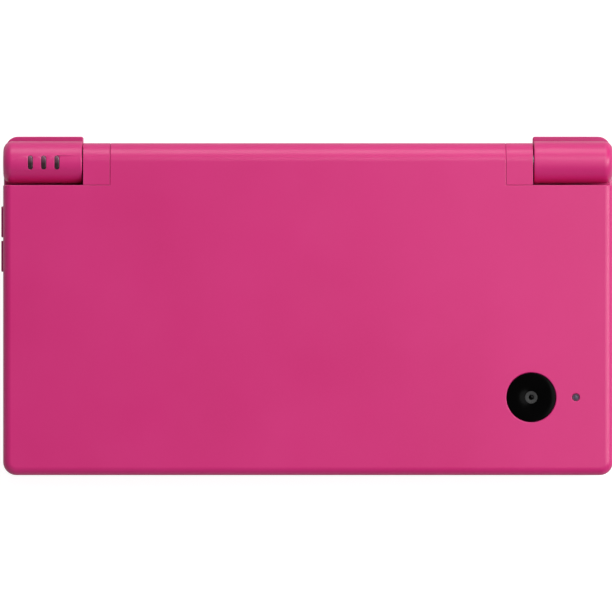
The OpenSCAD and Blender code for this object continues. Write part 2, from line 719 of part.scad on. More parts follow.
module dpad_pivot() color(rubber) translate([-control_x, control_y, nub_z]) sphere(r = nub_r);

module button_membranes() color(rubber) {
    rod_z(-control_x, control_y, sheet_z0, sheet_z1, dpad_sheet_r);
    for (p = face_places)
        rod_z(-control_x + p[0] * dpad_dome_out, control_y + p[1] * dpad_dome_out, sheet_z1 - seat, dpad_dome_z1,
            dpad_dome_r);
    plate(control_x - face_sheet, control_x + face_sheet, control_y - face_sheet, control_y + face_sheet,
        sheet_z0, sheet_z1, 3);
    for (p = face_places)
        rod_z(control_x + p[0] * diamond_r, control_y + p[1] * diamond_r, sheet_z1 - seat, dome_z1,
            face_button_d / 2 - 1.4);
    plate(control_x - menu_sheet, control_x + menu_sheet, menu_y - menu_pitch / 2 - menu_sheet,
        menu_y + menu_pitch / 2 + menu_sheet, sheet_z0, sheet_z1, 2);
    plate(-control_x - menu_sheet, -control_x + menu_sheet, menu_y - menu_sheet, menu_y + menu_sheet,
        sheet_z0, sheet_z1, 2);
    for (p = menu_places) rod_z(p[0], p[1], sheet_z1 - seat, dome_z1, menu_button_d / 2 - 0.7);
}

// Round button with a rim that keeps it in its hole and a softly rounded cap
module round_button(x, y, d) color(button_grey) {
    rod_z(x, y, flange_z0, flange_z1, d / 2 + 0.6);
    translate([x, y, 0]) rotate_extrude() polygon(half_section(d / 2, flange_z1 - seat, button_top, 0, 0.45));
}

module face_button(i) round_button(control_x + face_places[i][0] * diamond_r,
    control_y + face_places[i][1] * diamond_r, face_button_d);

module button_a() face_button(0);

module button_b() face_button(1);

module button_x() face_button(2);

module button_y() face_button(3);

module start_button() round_button(menu_places[0][0], menu_places[0][1], menu_button_d);

module select_button() round_button(menu_places[1][0], menu_places[1][1], menu_button_d);

module power_button() round_button(menu_places[2][0], menu_places[2][1], menu_button_d);

module volume_key(y) color(pink_dark) {
    along_x(-half_w - volume_proud, -in_w + 0.2)
        polygon(section(y - volume_key_w / 2, y + volume_key_w / 2, volume_z0, volume_z1, 0.5, 0.5));
    block(volume_flange_x, volume_flange_x + volume_flange, y - volume_key_w / 2, y + volume_key_w / 2,
        volume_z0, volume_z1 + slack);
}

module volume_up_key() volume_key(volume_places[0]);

module volume_down_key() volume_key(volume_places[1]);

module volume_switch_board() color(copper_green) {
    block(volume_board_x, volume_board_x + volume_board_t, volume_y - volume_pitch, volume_y + volume_pitch,
        volume_z0 - 2, volume_z1);
    for (y = volume_places) block(volume_board_x - volume_switch_t, volume_board_x + seat, y - volume_switch_w / 2,
        y + volume_switch_w / 2, volume_z0 + slack, volume_z1 - slack);
}

// Plan of a shoulder button on the right side, its outer back corner rounded
function shoulder_plan() = concat(
    [[shoulder_x0, back_y - shoulder_t], [shoulder_x1, back_y - shoulder_t]],
    arc(shoulder_x1 - shoulder_corner_r, back_y - shoulder_corner_r, shoulder_corner_r, 0, 90),
    arc(shoulder_x0 + 0.4, back_y - 0.4, 0.4, 90, 180, 3)
);

module shoulder_button() difference() {
    union() {
        translate([0, 0, shoulder_z0]) linear_extrude(shoulder_h) polygon(shoulder_plan());
        rod_z(shoulder_pin_x, shoulder_pin_y, shoulder_z0, shoulder_z1, shoulder_eye_r);
        block(shoulder_pin_x - shoulder_eye_r, shoulder_pin_x + shoulder_eye_r, shoulder_pin_y,
            back_y - shoulder_t + seat, shoulder_z0, shoulder_z1);
    }
    rod_z(shoulder_pin_x, shoulder_pin_y, shoulder_z0 - over, shoulder_z1 + over, shoulder_pin_r + hinge_fit);
    block(shoulder_pin_x - 3, shoulder_pin_x + 3, shoulder_pin_y - 3, shoulder_pin_y + shoulder_eye_r + slack / 2,
        shoulder_mid_z - coil_h / 2 - slack, shoulder_mid_z + coil_h / 2 + slack);
}

module shoulder_button_right() color(pink_dark) shoulder_button();

module shoulder_button_left() color(pink_dark) mirror([1, 0, 0]) shoulder_button();

module shoulder_pins() color(steel) mirrored()
    rod_z(shoulder_pin_x, shoulder_pin_y, floor_z + 0.3, ceiling_z - seat, shoulder_pin_r);

module shoulder_springs() color(steel) mirrored() difference() {
    union() {
        rod_z(shoulder_pin_x, shoulder_pin_y, shoulder_mid_z - coil_h / 2, shoulder_mid_z + coil_h / 2,
            shoulder_eye_r - 0.1);
        block(shoulder_pin_x - shoulder_eye_r + 0.1, shoulder_pin_x - shoulder_eye_r + 0.1 + spring_leg_t,
            shoulder_pin_y - spring_leg_l, shoulder_pin_y, shoulder_mid_z - spring_leg_t / 2,
            shoulder_mid_z + spring_leg_t / 2);
    }
    rod_z(shoulder_pin_x, shoulder_pin_y, shoulder_z0, shoulder_z1, shoulder_pin_r + hinge_fit);
}

module shoulder_switches() color(soft_black) mirrored() {
    block(switch_x - switch_w / 2, switch_x + switch_w / 2, notch_y + 1, switch_y, switch_z - switch_w / 4,
        switch_z + switch_w / 4);
    block(switch_x - switch_w / 5, switch_x + switch_w / 5, switch_y - seat, switch_y + switch_stem,
        switch_z - switch_w / 7, switch_z + switch_w / 7);
}

module indicator_windows() color(smoke) intersection() {
    for (x = window_places) pill(x, hinge_z + sleeve_r + 0.2, lid_z1 + over, window_w / 2, window_l / 2);
    rod_x(-half_w, -knuckle_x, hinge_y, hinge_z, knuckle_r - 0.03);
}

module indicator_board() color(copper_green) {
    block(led_board_x0, led_board_x1, hinge_y - 2, hinge_y + 2, hinge_z + 0.6, hinge_z + 1.2);
    for (x = window_places) block(x - 0.5, x + 0.5, hinge_y - 0.6, hinge_y + 0.9, hinge_z + 1.15, hinge_z + 2.1);
}

module hinge_sleeve_left() color(steel) difference() {
    rod_x(-knuckle_x - 4.4, -barrel_x - 0.15, hinge_y, hinge_z, sleeve_r);
    rod_x(-knuckle_x - 6, -barrel_x + over, hinge_y, hinge_z, sleeve_bore_r);
}

module hinge_shaft_right() color(steel) rod_x(barrel_x + 0.6, half_w - 4.2, hinge_y, hinge_z, shaft_r);

module stylus() color(soft_black) {
    rod_x(stylus_x0 + 6, stylus_x1, stylus_y, stylus_z, stylus_r);
    translate([stylus_x0 + 6 + seat, stylus_y, stylus_z]) rotate([0, -90, 0])
        rotate_extrude() polygon(half_section(1.1, 0, 6 + seat, 0, 1));
}

module stylus_silo() color(button_grey) difference() {
    rod_x(stylus_x0 - 1, half_w - corner_r - seat, stylus_y, stylus_z, silo_r);
    rod_x(stylus_x0 - 0.4, half_w, stylus_y, stylus_z, silo_bore_r);
}

// Plan of the lid's plate from the front edge to the notches, grown or shrunk evenly
module lid_plate(inset, z0, z1, low, high) intersection() {
    slab(-half_w + inset, half_w - inset, front_y + inset, hinge_y + 2 * corner_r, z0, z1, corner_r - inset, low, high);
    block(-half_w, half_w, front_y, notch_y - inset, z0, z1);
}

module lid_outer_shell() color(pink) difference() {
    union() {
        difference() {
            lid_plate(0, lid_part_z, lid_z1, 0, lid_edge_r);
            lid_plate(wall, lid_part_z - over, roof_z, 0, 0.8);
        }
        difference() {
            union() {
                block(-barrel_x + seat, barrel_x - seat, notch_y - wall, hinge_y, face_z, lid_z1);
                rod_x(-barrel_x + seat, barrel_x - seat, hinge_y, hinge_z, barrel_r);
            }
            block(-half_w, half_w, notch_y - wall - over, notch_y + seat, face_z - over, lid_part_z);
        }
        for (p = lid_screw_places) rod_z(p[0], p[1], lid_part_z + 1, roof_z + wall / 2, boss_r - 0.4);
    }
    rod_x(-half_w, half_w, hinge_y, hinge_z, barrel_bore_r);
    block(ribbon_x0 - 1, ribbon_x1 + 1, notch_y - wall - over, hinge_y, ribbon_z - 0.9, ribbon_z + 0.9);
    for (p = lid_screw_places) rod_z(p[0], p[1], lid_part_z, roof_z - 0.2, screw_d / 2 + 0.03);
    rod_z(camera_x, camera_y, lid_z1 - camera_pocket, lid_z1 + over, camera_d / 2 + 2 * seat);
    rod_z(camera_x, camera_y, roof_z - over, lid_z1, camera_barrel_r + 0.2);
    rod_z(camera_light_x, camera_y, roof_z - over, lid_z1 + over, camera_light_d / 2 + seat);
    rod_z(0, hinge_y, hinge_z - barrel_r - over, hinge_z, inner_camera_r + 0.08);
    rod_z(microphone_x, hinge_y, hinge_z - barrel_r - over, hinge_z, 0.5);
}

module lid_inner_shell() color(pink) difference() {
    union() {
        difference() {
            lid_plate(0, lid_z0, lid_part_z - seat, inner_edge_r, 0);
            lid_plate(lid_rim_w, lid_z0 - over, face_z, 0, 0);
            lid_plate(wall, panel_z, lid_part_z + over, 0, 0);
        }
        for (p = lid_screw_places) rod_z(p[0], p[1], panel_z - seat, lid_part_z + 0.9, boss_r);
    }
    window_cut(screen_y, lid_z0, lid_part_z);
    for (p = lid_screw_places) {
        rod_z(p[0], p[1], face_z - over, lid_seat_z, screw_head_d / 2 + head_gap);
        rod_z(p[0], p[1], face_z, lid_part_z + over, screw_d / 2 + 0.1);
    }
    mirrored() for (i = [-0.5, 0.5], j = [-1:1])
        rod_z(control_x + i * sound_hole_pitch, speaker_y + j * sound_hole_pitch, face_z - over, panel_z + over,
            sound_hole_d / 2);
}

// Collar on the right side: a barrel with a flat flange towards the lid
module collar(bore_r) difference() {
    union() {
        rod_x(barrel_x, collar_x, hinge_y, hinge_z, barrel_r);
        block(barrel_x, collar_x, notch_y + seat, hinge_y, face_z, lid_z1);
    }
    rod_x(barrel_x - over, collar_x + over, hinge_y, hinge_z, bore_r);
}

module hinge_collar_left() color(pink) mirror([1, 0, 0]) collar(sleeve_r + hinge_fit);

module hinge_collar_right() color(pink) collar(sleeve_r + 0.03);

module hinge_clutch() color(steel) difference() {
    rod_x(barrel_x + 0.3, collar_x - 0.2, hinge_y, hinge_z, sleeve_r);
    rod_x(barrel_x, collar_x, hinge_y, hinge_z, shaft_r + hinge_fit);
}

module upper_window() color(glass_black)
    plate(-screen_w / 2, screen_w / 2, screen_y - screen_d / 2, screen_y + screen_d / 2, face_z + seat,
        panel_z - 2 * seat, 0.9);

module upper_display() color(smoke) display_plate(screen_y, panel_z + seat, panel_z + seat + upper_display_t, 0.8);

module speakers() color(soft_black) mirrored() difference() {
    plate(control_x - speaker_w / 2, control_x + speaker_w / 2, speaker_y - speaker_l / 2,
        speaker_y + speaker_l / 2, panel_z + seat, panel_z + seat + speaker_t, 3);
    rod_z(control_x, speaker_y, panel_z + speaker_t - 0.4, panel_z + speaker_t + over, speaker_w / 4);
}

module camera_module() color(soft_black) {
    plate(camera_x - camera_block_w / 2, camera_x + camera_block_w / 2, camera_y - camera_block_w / 2,
        camera_y + camera_block_w / 2, roof_z - camera_block_h, roof_z - seat, 0.6);
    rod_z(camera_x, camera_y, roof_z - 2 * seat, lid_z1 - camera_pocket - seat, camera_barrel_r);
}

module camera_window() color(glass_black) difference() {
    rod_z(camera_x, camera_y, lid_z1 - camera_pocket + seat, lid_z1 - 0.02, camera_d / 2);
    rod_z(camera_x, camera_y, roof_z, lid_z1 + over, camera_lens_d / 2 + 0.02);
}

module camera_lens() color(smoke)
    rod_z(camera_x, camera_y, lid_z1 - camera_pocket, lid_z1 - 0.08, camera_lens_d / 2);

module camera_light() color([0.75, 0.7, 0.72]) {
    rod_z(camera_light_x, camera_y, roof_z - 0.1, lid_z1 - 0.04, camera_light_d / 2);
    rod_z(camera_light_x, camera_y, roof_z - 0.6, roof_z - seat, camera_light_d / 2 + 0.6);
}

module inner_camera() color(glass_black) {
    block(-3, 3, hinge_y - inner_camera_half, hinge_y + inner_camera_half, inner_camera_z0, hinge_z + 0.7);
    rod_z(0, hinge_y, hinge_z - barrel_r + 0.15, inner_camera_z0 + seat, inner_camera_r);
}

module microphone() color(steel) rod_z(microphone_x, hinge_y, microphone_z0, microphone_z0 + 1.5, microphone_r);

module lid_screws() color(steel) for (p = lid_screw_places)
    screw(p[0], p[1], lid_seat_z, lid_screw_l, 0.7, 0.35);

module lid_bumpers() color(rubber) for (p = lid_screw_places)
    rod_z(p[0], p[1], face_z - (p[1] < 0 ? 0.8 : 0.3), lid_seat_z - 0.75, screw_head_d / 2 + 0.15);

// Rolled ribbon in the hollow sleeve, and its tail over the back of the upper display
module display_ribbon() color([0.75, 0.45, 0.15]) {
    difference() {
        rod_x(-knuckle_x - 3, ribbon_x1 + 1, hinge_y, hinge_z, ribbon_r);
        rod_x(-knuckle_x - 4, ribbon_x1 + 2, hinge_y, hinge_z, ribbon_r - 0.3);
    }
    block(ribbon_x0, ribbon_x1, screen_y + screen_d / 2 - 4, hinge_y - ribbon_r + 0.2, ribbon_z, ribbon_z + ribbon_t);
}

base_bottom_shell();
base_top_shell();
battery_cover();
battery_pack();
battery_cover_screws();
case_screws();
rubber_feet();
main_board();
board_chips();
radio_module();
game_card_slot();
sd_card_slot();
sd_card_door();
sd_door_pin();
charge_socket();
headphone_jack();
touch_panel();
lower_display();
display_bracket();
dpad();
dpad_pivot();
button_membranes();
button_a();
button_b();
button_x();
button_y();
start_button();
select_button();
power_button();
volume_up_key();
volume_down_key();
volume_switch_board();
shoulder_button_left();
shoulder_button_right();
shoulder_pins();
shoulder_springs();
shoulder_switches();
indicator_windows();
indicator_board();
hinge_sleeve_left();
hinge_shaft_right();
stylus();
stylus_silo();
lid_outer_shell();
lid_inner_shell();
hinge_collar_left();
hinge_collar_right();
hinge_clutch();
upper_window();
upper_display();
speakers();
camera_module();
camera_window();
camera_lens();
camera_light();
inner_camera();
microphone();
lid_screws();
lid_bumpers();
display_ribbon();
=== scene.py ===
# %% [markdown]
# # A pink folding game console, closed on a white table
# The object is a clamshell: a thin lid over a base, with a hinge at the back. The solids that
# make it work are already modelled at their real size, in sixty nodes. They could be rendered as
# they are, but every edge would be knife sharp and every surface flat. So each visible piece is
# rebuilt here with its true roundings and finish, in the place where its solid stands, and the
# solids that stay inside get a material. Lengths in this lesson are millimetres times `MM`,
# except for the camera, the lamps and the floor, which are in metres.

# %% Load the solids
import json
import math

import bmesh
import bpy
from mathutils import Matrix, Vector


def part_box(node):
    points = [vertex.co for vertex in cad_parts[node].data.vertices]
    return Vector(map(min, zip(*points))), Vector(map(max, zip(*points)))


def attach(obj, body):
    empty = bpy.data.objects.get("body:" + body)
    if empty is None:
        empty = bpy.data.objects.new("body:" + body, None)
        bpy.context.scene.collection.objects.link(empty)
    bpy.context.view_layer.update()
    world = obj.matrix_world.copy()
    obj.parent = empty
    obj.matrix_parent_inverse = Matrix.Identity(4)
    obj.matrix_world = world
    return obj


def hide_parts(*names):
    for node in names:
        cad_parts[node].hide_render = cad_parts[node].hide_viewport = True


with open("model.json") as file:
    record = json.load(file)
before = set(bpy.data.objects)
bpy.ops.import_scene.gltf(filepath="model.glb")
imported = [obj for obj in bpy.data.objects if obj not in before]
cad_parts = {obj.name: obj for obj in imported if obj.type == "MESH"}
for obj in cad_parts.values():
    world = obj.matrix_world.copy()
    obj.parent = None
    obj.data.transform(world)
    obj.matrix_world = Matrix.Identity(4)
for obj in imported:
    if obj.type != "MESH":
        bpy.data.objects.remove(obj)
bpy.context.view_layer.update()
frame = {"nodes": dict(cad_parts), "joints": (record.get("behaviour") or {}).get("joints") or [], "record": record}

MM = 0.001
solids = frame["nodes"]
body_of = {
    node: body
    for body, members in frame["record"]["behaviour"]["bodies"].items()
    for node in members
}
slot_of = {part["node"]: part["material_slot"] for part in frame["record"]["subparts"]}

# %% [markdown]
# ## Places to build from
# Places and outer sizes below come from a solid's own box, so the finished pieces follow the
# solids when those change. `low` and `high` are the two corners of a box and `middle` is the
# point between them. A screw or a window that stands several times in one node is found by
# splitting the node's mesh into its loose parts.

# %% Corners, middles and loose parts
def low(node):
    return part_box(node)[0]


def high(node):
    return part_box(node)[1]


def middle(node):
    return (low(node) + high(node)) / 2


def half_span(node):
    """Half a solid's width, which is the radius of a round one."""
    return (high(node).x - low(node).x) / 2


def floor_point(node):
    """The point on the floor under a solid's middle."""
    return Vector((middle(node).x, middle(node).y, 0))


def loose_boxes(node):
    """Lowest and highest corner of each separate part of a solid, from left to right."""
    shape = bmesh.new()
    shape.from_mesh(solids[node].data)
    bmesh.ops.remove_doubles(shape, verts=shape.verts, dist=0.001 * MM)
    waiting, boxes = set(shape.verts), []
    while waiting:
        reached = [waiting.pop()]
        for corner in reached:
            nearby = {edge.other_vert(corner) for edge in corner.link_edges} & waiting
            waiting -= nearby
            reached.extend(nearby)
        spread = list(zip(*(corner.co for corner in reached)))
        boxes.append((Vector(map(min, spread)), Vector(map(max, spread))))
    shape.free()
    return sorted(boxes, key=lambda box: (round(box[0].x, 5), box[0].y))


hinge = next(joint for joint in frame["joints"] if joint["name"] == "lid_hinge")
hinge_y, hinge_z = hinge["pos_m"][1:]
print("lid top", high("lid_outer_shell").z, "hinge", hinge_y, hinge_z)

# %% [markdown]
# ## Making a node tree in a few words
# Materials are built from nodes, and a tree written one call at a time is long and hard to
# follow. `add` makes one node, sets its properties, and either writes a value to each input or
# joins it to another node's output, so a whole pattern reads in a few lines.

# %% One helper for all nodes
def add(tree, kind, inputs=None, **settings):
    made = tree.nodes.new(kind)
    for name, value in settings.items():
        setattr(made, name, value)
    for name, value in (inputs or {}).items():
        if isinstance(value, bpy.types.NodeSocket):
            tree.links.new(value, made.inputs[name])
        else:
            made.inputs[name].default_value = value
    return made


def blank_material(name):
    """A new material with its tree and its shader."""
    material = bpy.data.materials.new(name)
    material.use_nodes = True
    return material, material.node_tree, material.node_tree.nodes["Principled BSDF"]


def object_place(tree):
    """Coordinates that keep their real size and stay put when the piece moves."""
    return add(tree, "ShaderNodeTexCoord").outputs["Object"]


def grey(level):
    return (level, level, level, 1.0)


print("helpers ready")

# %% [markdown]
# ## Camera
# The photograph looks straight down on the closed lid, with the hinge at the top of the picture
# and no perspective that can be seen: the shoulder keys, ten millimetres lower than the lid,
# still line up with it. An orthographic camera would match, and so does a very long lens, which
# also works for the views from the side. The distance follows from the width of the picture at the
# height of the lid's outline: distance = width x lens / sensor.

# %% Camera over the lid
view_width = 137.58 * MM
outline_height = 15 * MM
picture_middle = Vector((-0.46 * MM, -0.09 * MM, 0))

camera_data = bpy.data.cameras.new("camera")
camera_data.lens = 600
camera_data.sensor_width = 36
camera_data.clip_start = 0.01
camera = bpy.data.objects.new("camera", camera_data)
camera_height = outline_height + view_width * camera_data.lens / camera_data.sensor_width
camera.location = picture_middle + Vector((0, 0, camera_height))
bpy.context.scene.collection.objects.link(camera)
bpy.context.scene.camera = camera
print("camera height", round(camera_height / MM, 1), "mm")

# %% [markdown]
# ## Light
# The highlights in the photograph lie along the back of the hinge and down the right side, the
# lid pales from left to right, and the front and left edges are dark. So one wide soft panel
# stands low behind the console and one on its right, and a small one hangs close over the right
# end. A panel high up at the back right lights the flat lid more than its sides, and a weak one
# at the left front keeps the dark edges open. The polished camera disc mirrors what is straight
# above it and is black in the photograph, so the room is dim overhead.

# %% Soft panels and a pale world
lamp_target = Vector((0, 0, 0.01))


def soft_panel(name, place, size, watts):
    data = bpy.data.lights.new(name, "AREA")
    data.shape = "RECTANGLE"
    data.size, data.size_y = size
    data.energy = watts
    panel = bpy.data.objects.new(name, data)
    panel.location = place
    panel.rotation_euler = (lamp_target - Vector(place)).to_track_quat("-Z", "Y").to_euler()
    bpy.context.scene.collection.objects.link(panel)


soft_panel("back_panel", (0.15, 1.05, 0.46), (1.0, 0.55), 5.5)
soft_panel("right_panel", (1.0, 0.2, 0.72), (0.35, 0.8), 5.3)
soft_panel("near_panel", (0.24, 0.0, 0.3), (0.2, 0.4), 0.38)
soft_panel("top_panel", (0.3, 0.4, 0.9), (0.5, 0.5), 2.95)
soft_panel("front_panel", (-0.6, -0.8, 0.7), (0.6, 0.4), 0.5)

world = bpy.data.worlds.new("pale_room")
bpy.context.scene.world = world
world.use_nodes = True
air = world.node_tree
horizon_strength, overhead_strength = 0.3, 0.18
direction = add(air, "ShaderNodeTexCoord").outputs["Generated"]
height = add(air, "ShaderNodeSeparateXYZ", {"Vector": direction}).outputs["Z"]
paleness = add(air, "ShaderNodeMapRange", {"Value": height, 1: 0.1, 2: 0.85, 3: horizon_strength,
                                           4: overhead_strength}).outputs[0]
air.links.new(paleness, air.nodes["Background"].inputs["Strength"])
air.nodes["Background"].inputs["Color"].default_value = grey(1.0)
bpy.context.scene.view_settings.view_transform = "Standard"

# %% [markdown]
# ## Floor
# The background of the photograph is pure white. A white floor under a normal light renders
# pale grey, and more light would bleach the console. So the floor adds a glow that the camera
# sees in full and mirror-like surfaces see in part, which leaves the console's low edges dark
# as in the photograph. Its diffuse share stays, and so does the soft contact shadow. Light that
# bounces off the console sees plain grey, so that the glow doesn't light it from below.

# %% White floor that keeps its shadow
floor_size = 3.0
camera_glow, mirror_glow = 0.89, 0.3
darkest_table, palest_table = 0.36, 0.4
bounced_grey = 0.5
floor_mesh = bpy.data.meshes.new("floor")
floor_corners = [(-floor_size, -floor_size, 0), (floor_size, -floor_size, 0),
                 (floor_size, floor_size, 0), (-floor_size, floor_size, 0)]
floor_mesh.from_pydata(floor_corners, [], [(0, 1, 2, 3)])
floor = bpy.data.objects.new("floor", floor_mesh)
bpy.context.scene.collection.objects.link(floor)

material, tree, shader = blank_material("white_table")
seen = add(tree, "ShaderNodeLightPath")
straight = add(tree, "ShaderNodeMath", {0: seen.outputs["Is Camera Ray"],
                                        1: seen.outputs["Is Transmission Ray"]},
               operation="MAXIMUM").outputs[0]
mirrored = seen.outputs["Is Glossy Ray"]
seen_at_all = add(tree, "ShaderNodeMath", {0: straight, 1: mirrored}, operation="MAXIMUM").outputs[0]
strength = add(tree, "ShaderNodeMapRange", {"Value": straight, 3: mirror_glow, 4: camera_glow}).outputs[0]
grain = add(tree, "ShaderNodeTexNoise", {"Scale": 60.0, "Detail": 4.0}).outputs["Fac"]
tone = add(tree, "ShaderNodeMapRange", {"Value": grain, 3: darkest_table, 4: palest_table})
matt = add(tree, "ShaderNodeBsdfDiffuse", {"Color": tone.outputs[0]})
glow = add(tree, "ShaderNodeEmission", {"Color": grey(1.0), "Strength": strength})
both = add(tree, "ShaderNodeAddShader", {0: matt.outputs[0], 1: glow.outputs[0]})
plain = add(tree, "ShaderNodeBsdfDiffuse", {"Color": grey(bounced_grey)})
choice = add(tree, "ShaderNodeMixShader", {0: seen_at_all, 1: plain.outputs[0], 2: both.outputs[0]})
tree.links.new(choice.outputs[0], tree.nodes["Material Output"].inputs["Surface"])
floor_mesh.materials.append(material)

# %% [markdown]
# ## Moulded plastic
# The casing is pigmented plastic with a satin sheen. A single colour and roughness would look
# like paper. Real mouldings show four faint things: the pigment clouds a little over
# centimetres, the mould's spark-eroded grain breaks up the highlight, handling polishes some
# areas more than others, and edges rub slightly paler. Each is one noise or one Bevel node on
# Object coordinates. Every finish ends in the same three joints, colour, roughness and relief,
# so `surface` makes those; what is the same all over is written on the shader itself.

# %% Helpers that every finish shares
def mixed(tree, factor, first, second):
    """Colour output between two colours."""
    made = add(tree, "ShaderNodeMix", {0: factor, 6: first, 7: second}, data_type="RGBA")
    return made.outputs[2]


def noise(tree, place, size, detail=3.0, seed=0.0):
    """Noise whose patches are about `size` metres across."""
    return add(tree, "ShaderNodeTexNoise", {"Vector": place, "W": seed, "Scale": 1 / size, "Detail": detail},
               noise_dimensions="4D").outputs["Fac"]


def spread_between(tree, value, least, most, start=0.3, end=0.7):
    return add(tree, "ShaderNodeMapRange", {"Value": value, 1: start, 2: end, 3: least, 4: most}).outputs[0]


def surface(tree, shader, colour, roughness, height, depth, strength, coat=0.0, coat_rough=0.03):
    """Join a pattern's colour, roughness and relief to the shader, and set its clear coat."""
    relief = add(tree, "ShaderNodeBump", {"Height": height, "Distance": depth, "Strength": strength})
    for name, value in (("Base Color", colour), ("Roughness", roughness), ("Normal", relief.outputs[0])):
        tree.links.new(value, shader.inputs[name])
    shader.inputs["Coat Weight"].default_value = coat
    shader.inputs["Coat Roughness"].default_value = coat_rough


print("finish helpers ready")

# %% Satin and matt mouldings from one recipe
def edge_wear(tree, radius):
    """Near one on edges and nought on flat ground, from a softened normal."""
    soft = add(tree, "ShaderNodeBevel", {"Radius": radius}, samples=4)
    true = add(tree, "ShaderNodeNewGeometry")
    same = add(tree, "ShaderNodeVectorMath", {0: soft.outputs[0], 1: true.outputs["Normal"]},
               operation="DOT_PRODUCT")
    turned = add(tree, "ShaderNodeMath", {0: 1.0, 1: same.outputs["Value"]}, operation="SUBTRACT")
    return spread_between(tree, turned.outputs[0], 0.0, 1.0, 0.02, 0.3)


def moulded(name, colour, cloud, worn, rough=(0.3, 0.4), grain=0.12 * MM, depth=0.006 * MM, coat=0.0):
    """Pigmented plastic: `cloud` is its second pigment tone and `worn` its edge colour."""
    material, tree, shader = blank_material(name)
    place = object_place(tree)
    clouds = spread_between(tree, noise(tree, place, 28 * MM, seed=1.0), 0.0, 1.0)
    specks = spread_between(tree, noise(tree, place, 0.5 * MM, seed=2.0), 0.0, 0.35)
    body = mixed(tree, specks, mixed(tree, clouds, colour, cloud), cloud)
    handled = noise(tree, place, 9 * MM, 4.0, seed=3.0)
    edges = edge_wear(tree, 0.3 * MM)
    scuffs = add(tree, "ShaderNodeMath", {0: edges, 1: spread_between(tree, handled, 0.1, 0.5)},
                 operation="MULTIPLY")
    surface(tree, shader, mixed(tree, scuffs.outputs[0], body, worn), spread_between(tree, handled, *rough),
            noise(tree, place, grain, 2.0, seed=4.0), depth, 0.6, coat, 0.22)
    return material


looks = {
    "pink_casing": moulded("satin_pink", (0.62, 0.014, 0.17, 1), (0.66, 0.02, 0.194, 1), (0.8, 0.16, 0.36, 1),
                           rough=(0.36, 0.42), coat=0.18),
    "pink_key": moulded("satin_pink_keys", (0.5, 0.018, 0.16, 1), (0.55, 0.024, 0.18, 1), (0.7, 0.1, 0.28, 1),
                        rough=(0.34, 0.42), coat=0.1),
    "control_grey": moulded("matt_dark_controls", grey(0.032), (0.042, 0.04, 0.044, 1), grey(0.1),
                            rough=(0.42, 0.55), grain=0.16 * MM, depth=0.012 * MM),
    "black_plastic": moulded("matt_black_moulding", grey(0.012), grey(0.018), grey(0.06), rough=(0.4, 0.52)),
    "rubber_grey": moulded("soft_grey_rubber", grey(0.045), grey(0.06), grey(0.085), rough=(0.62, 0.78),
                           grain=0.2 * MM, depth=0.02 * MM),
}
print("mouldings:", sorted(looks))

# %% [markdown]
# ## Glass, lenses and lamps
# Fingerprints are what tells glass from black paint, so one recipe serves every polished piece: a
# dark colour with dust, faint smears in the roughness and a long slow ripple. The camera's disc
# is polished black and mirrors little. The camera light is a milky grain of glass. The visible
# screens and indicator windows get finishes of their own further on.

# %% Polished black, smoked and milky
def polished(name, colour, second, rough=(0.03, 0.12), coat=0.6, mirror=0.5):
    """Smooth dark surface with faint smears."""
    material, tree, shader = blank_material(name)
    place = object_place(tree)
    smears = noise(tree, place, 7 * MM, 5.0, seed=5.0)
    dust = spread_between(tree, noise(tree, place, 0.35 * MM, 2.0, seed=6.0), 0.0, 0.5, 0.62, 0.8)
    surface(tree, shader, mixed(tree, dust, colour, second), spread_between(tree, smears, *rough),
            noise(tree, place, 14 * MM, 1.0, seed=7.0), 0.01 * MM, 0.15, coat, 0.04)
    shader.inputs["Specular IOR Level"].default_value = mirror
    return material


looks["black_gloss"] = polished("polished_black_disc", grey(0.0006), grey(0.002), coat=0.0, mirror=0.07)
looks["screen_glass"] = polished("black_screen_border", grey(0.004), grey(0.01), coat=0.5)
looks["display_cell"] = polished("dark_display", (0.03, 0.032, 0.036, 1), (0.04, 0.042, 0.046, 1),
                                 rough=(0.15, 0.25))
looks["smoked_lens"] = polished("smoked_window", (0.05, 0.04, 0.045, 1), (0.08, 0.07, 0.075, 1),
                                rough=(0.08, 0.2))
looks["light_guide"] = polished("milky_lamp", (0.07, 0.05, 0.095, 1), (0.12, 0.09, 0.15, 1),
                                rough=(0.3, 0.45), coat=0.2)
print("glossy:", [looks[key].name for key in ("black_gloss", "screen_glass", "smoked_lens", "light_guide")])

# %% [markdown]
# ## Metal, board, battery and film
# Most of these lie inside, but they show when the console is taken apart. Pressed steel has fine rolling lines,
# which are one noise stretched along X. The left hinge sleeve shows in the gap beside its knuckle, so its steel is
# painted almost black: a painted shade that makes the gap a dark line. The board is solder mask over copper, so a
# brick pattern raises faint tracks. The battery's wrap is a matt film with soft creases, and the ribbon is amber
# film with copper lines along it.

# %% Steel, board, wrap and ribbon
def stretched(tree, size):
    """Object coordinates divided by a size in each direction."""
    scale = [1 / part for part in size]
    return add(tree, "ShaderNodeMapping", {"Vector": object_place(tree), "Scale": scale}).outputs[0]


def rolled_steel(name, valley, ridge):
    material, tree, shader = blank_material(name)
    place = stretched(tree, (6 * MM, 0.08 * MM, 0.08 * MM))
    lines = add(tree, "ShaderNodeTexNoise", {"Vector": place, "Scale": 1.0, "Detail": 3.0}).outputs["Fac"]
    surface(tree, shader, mixed(tree, lines, valley, ridge), spread_between(tree, lines, 0.22, 0.42),
            lines, 0.004 * MM, 0.5)
    shader.inputs["Metallic"].default_value = 1.0
    return material


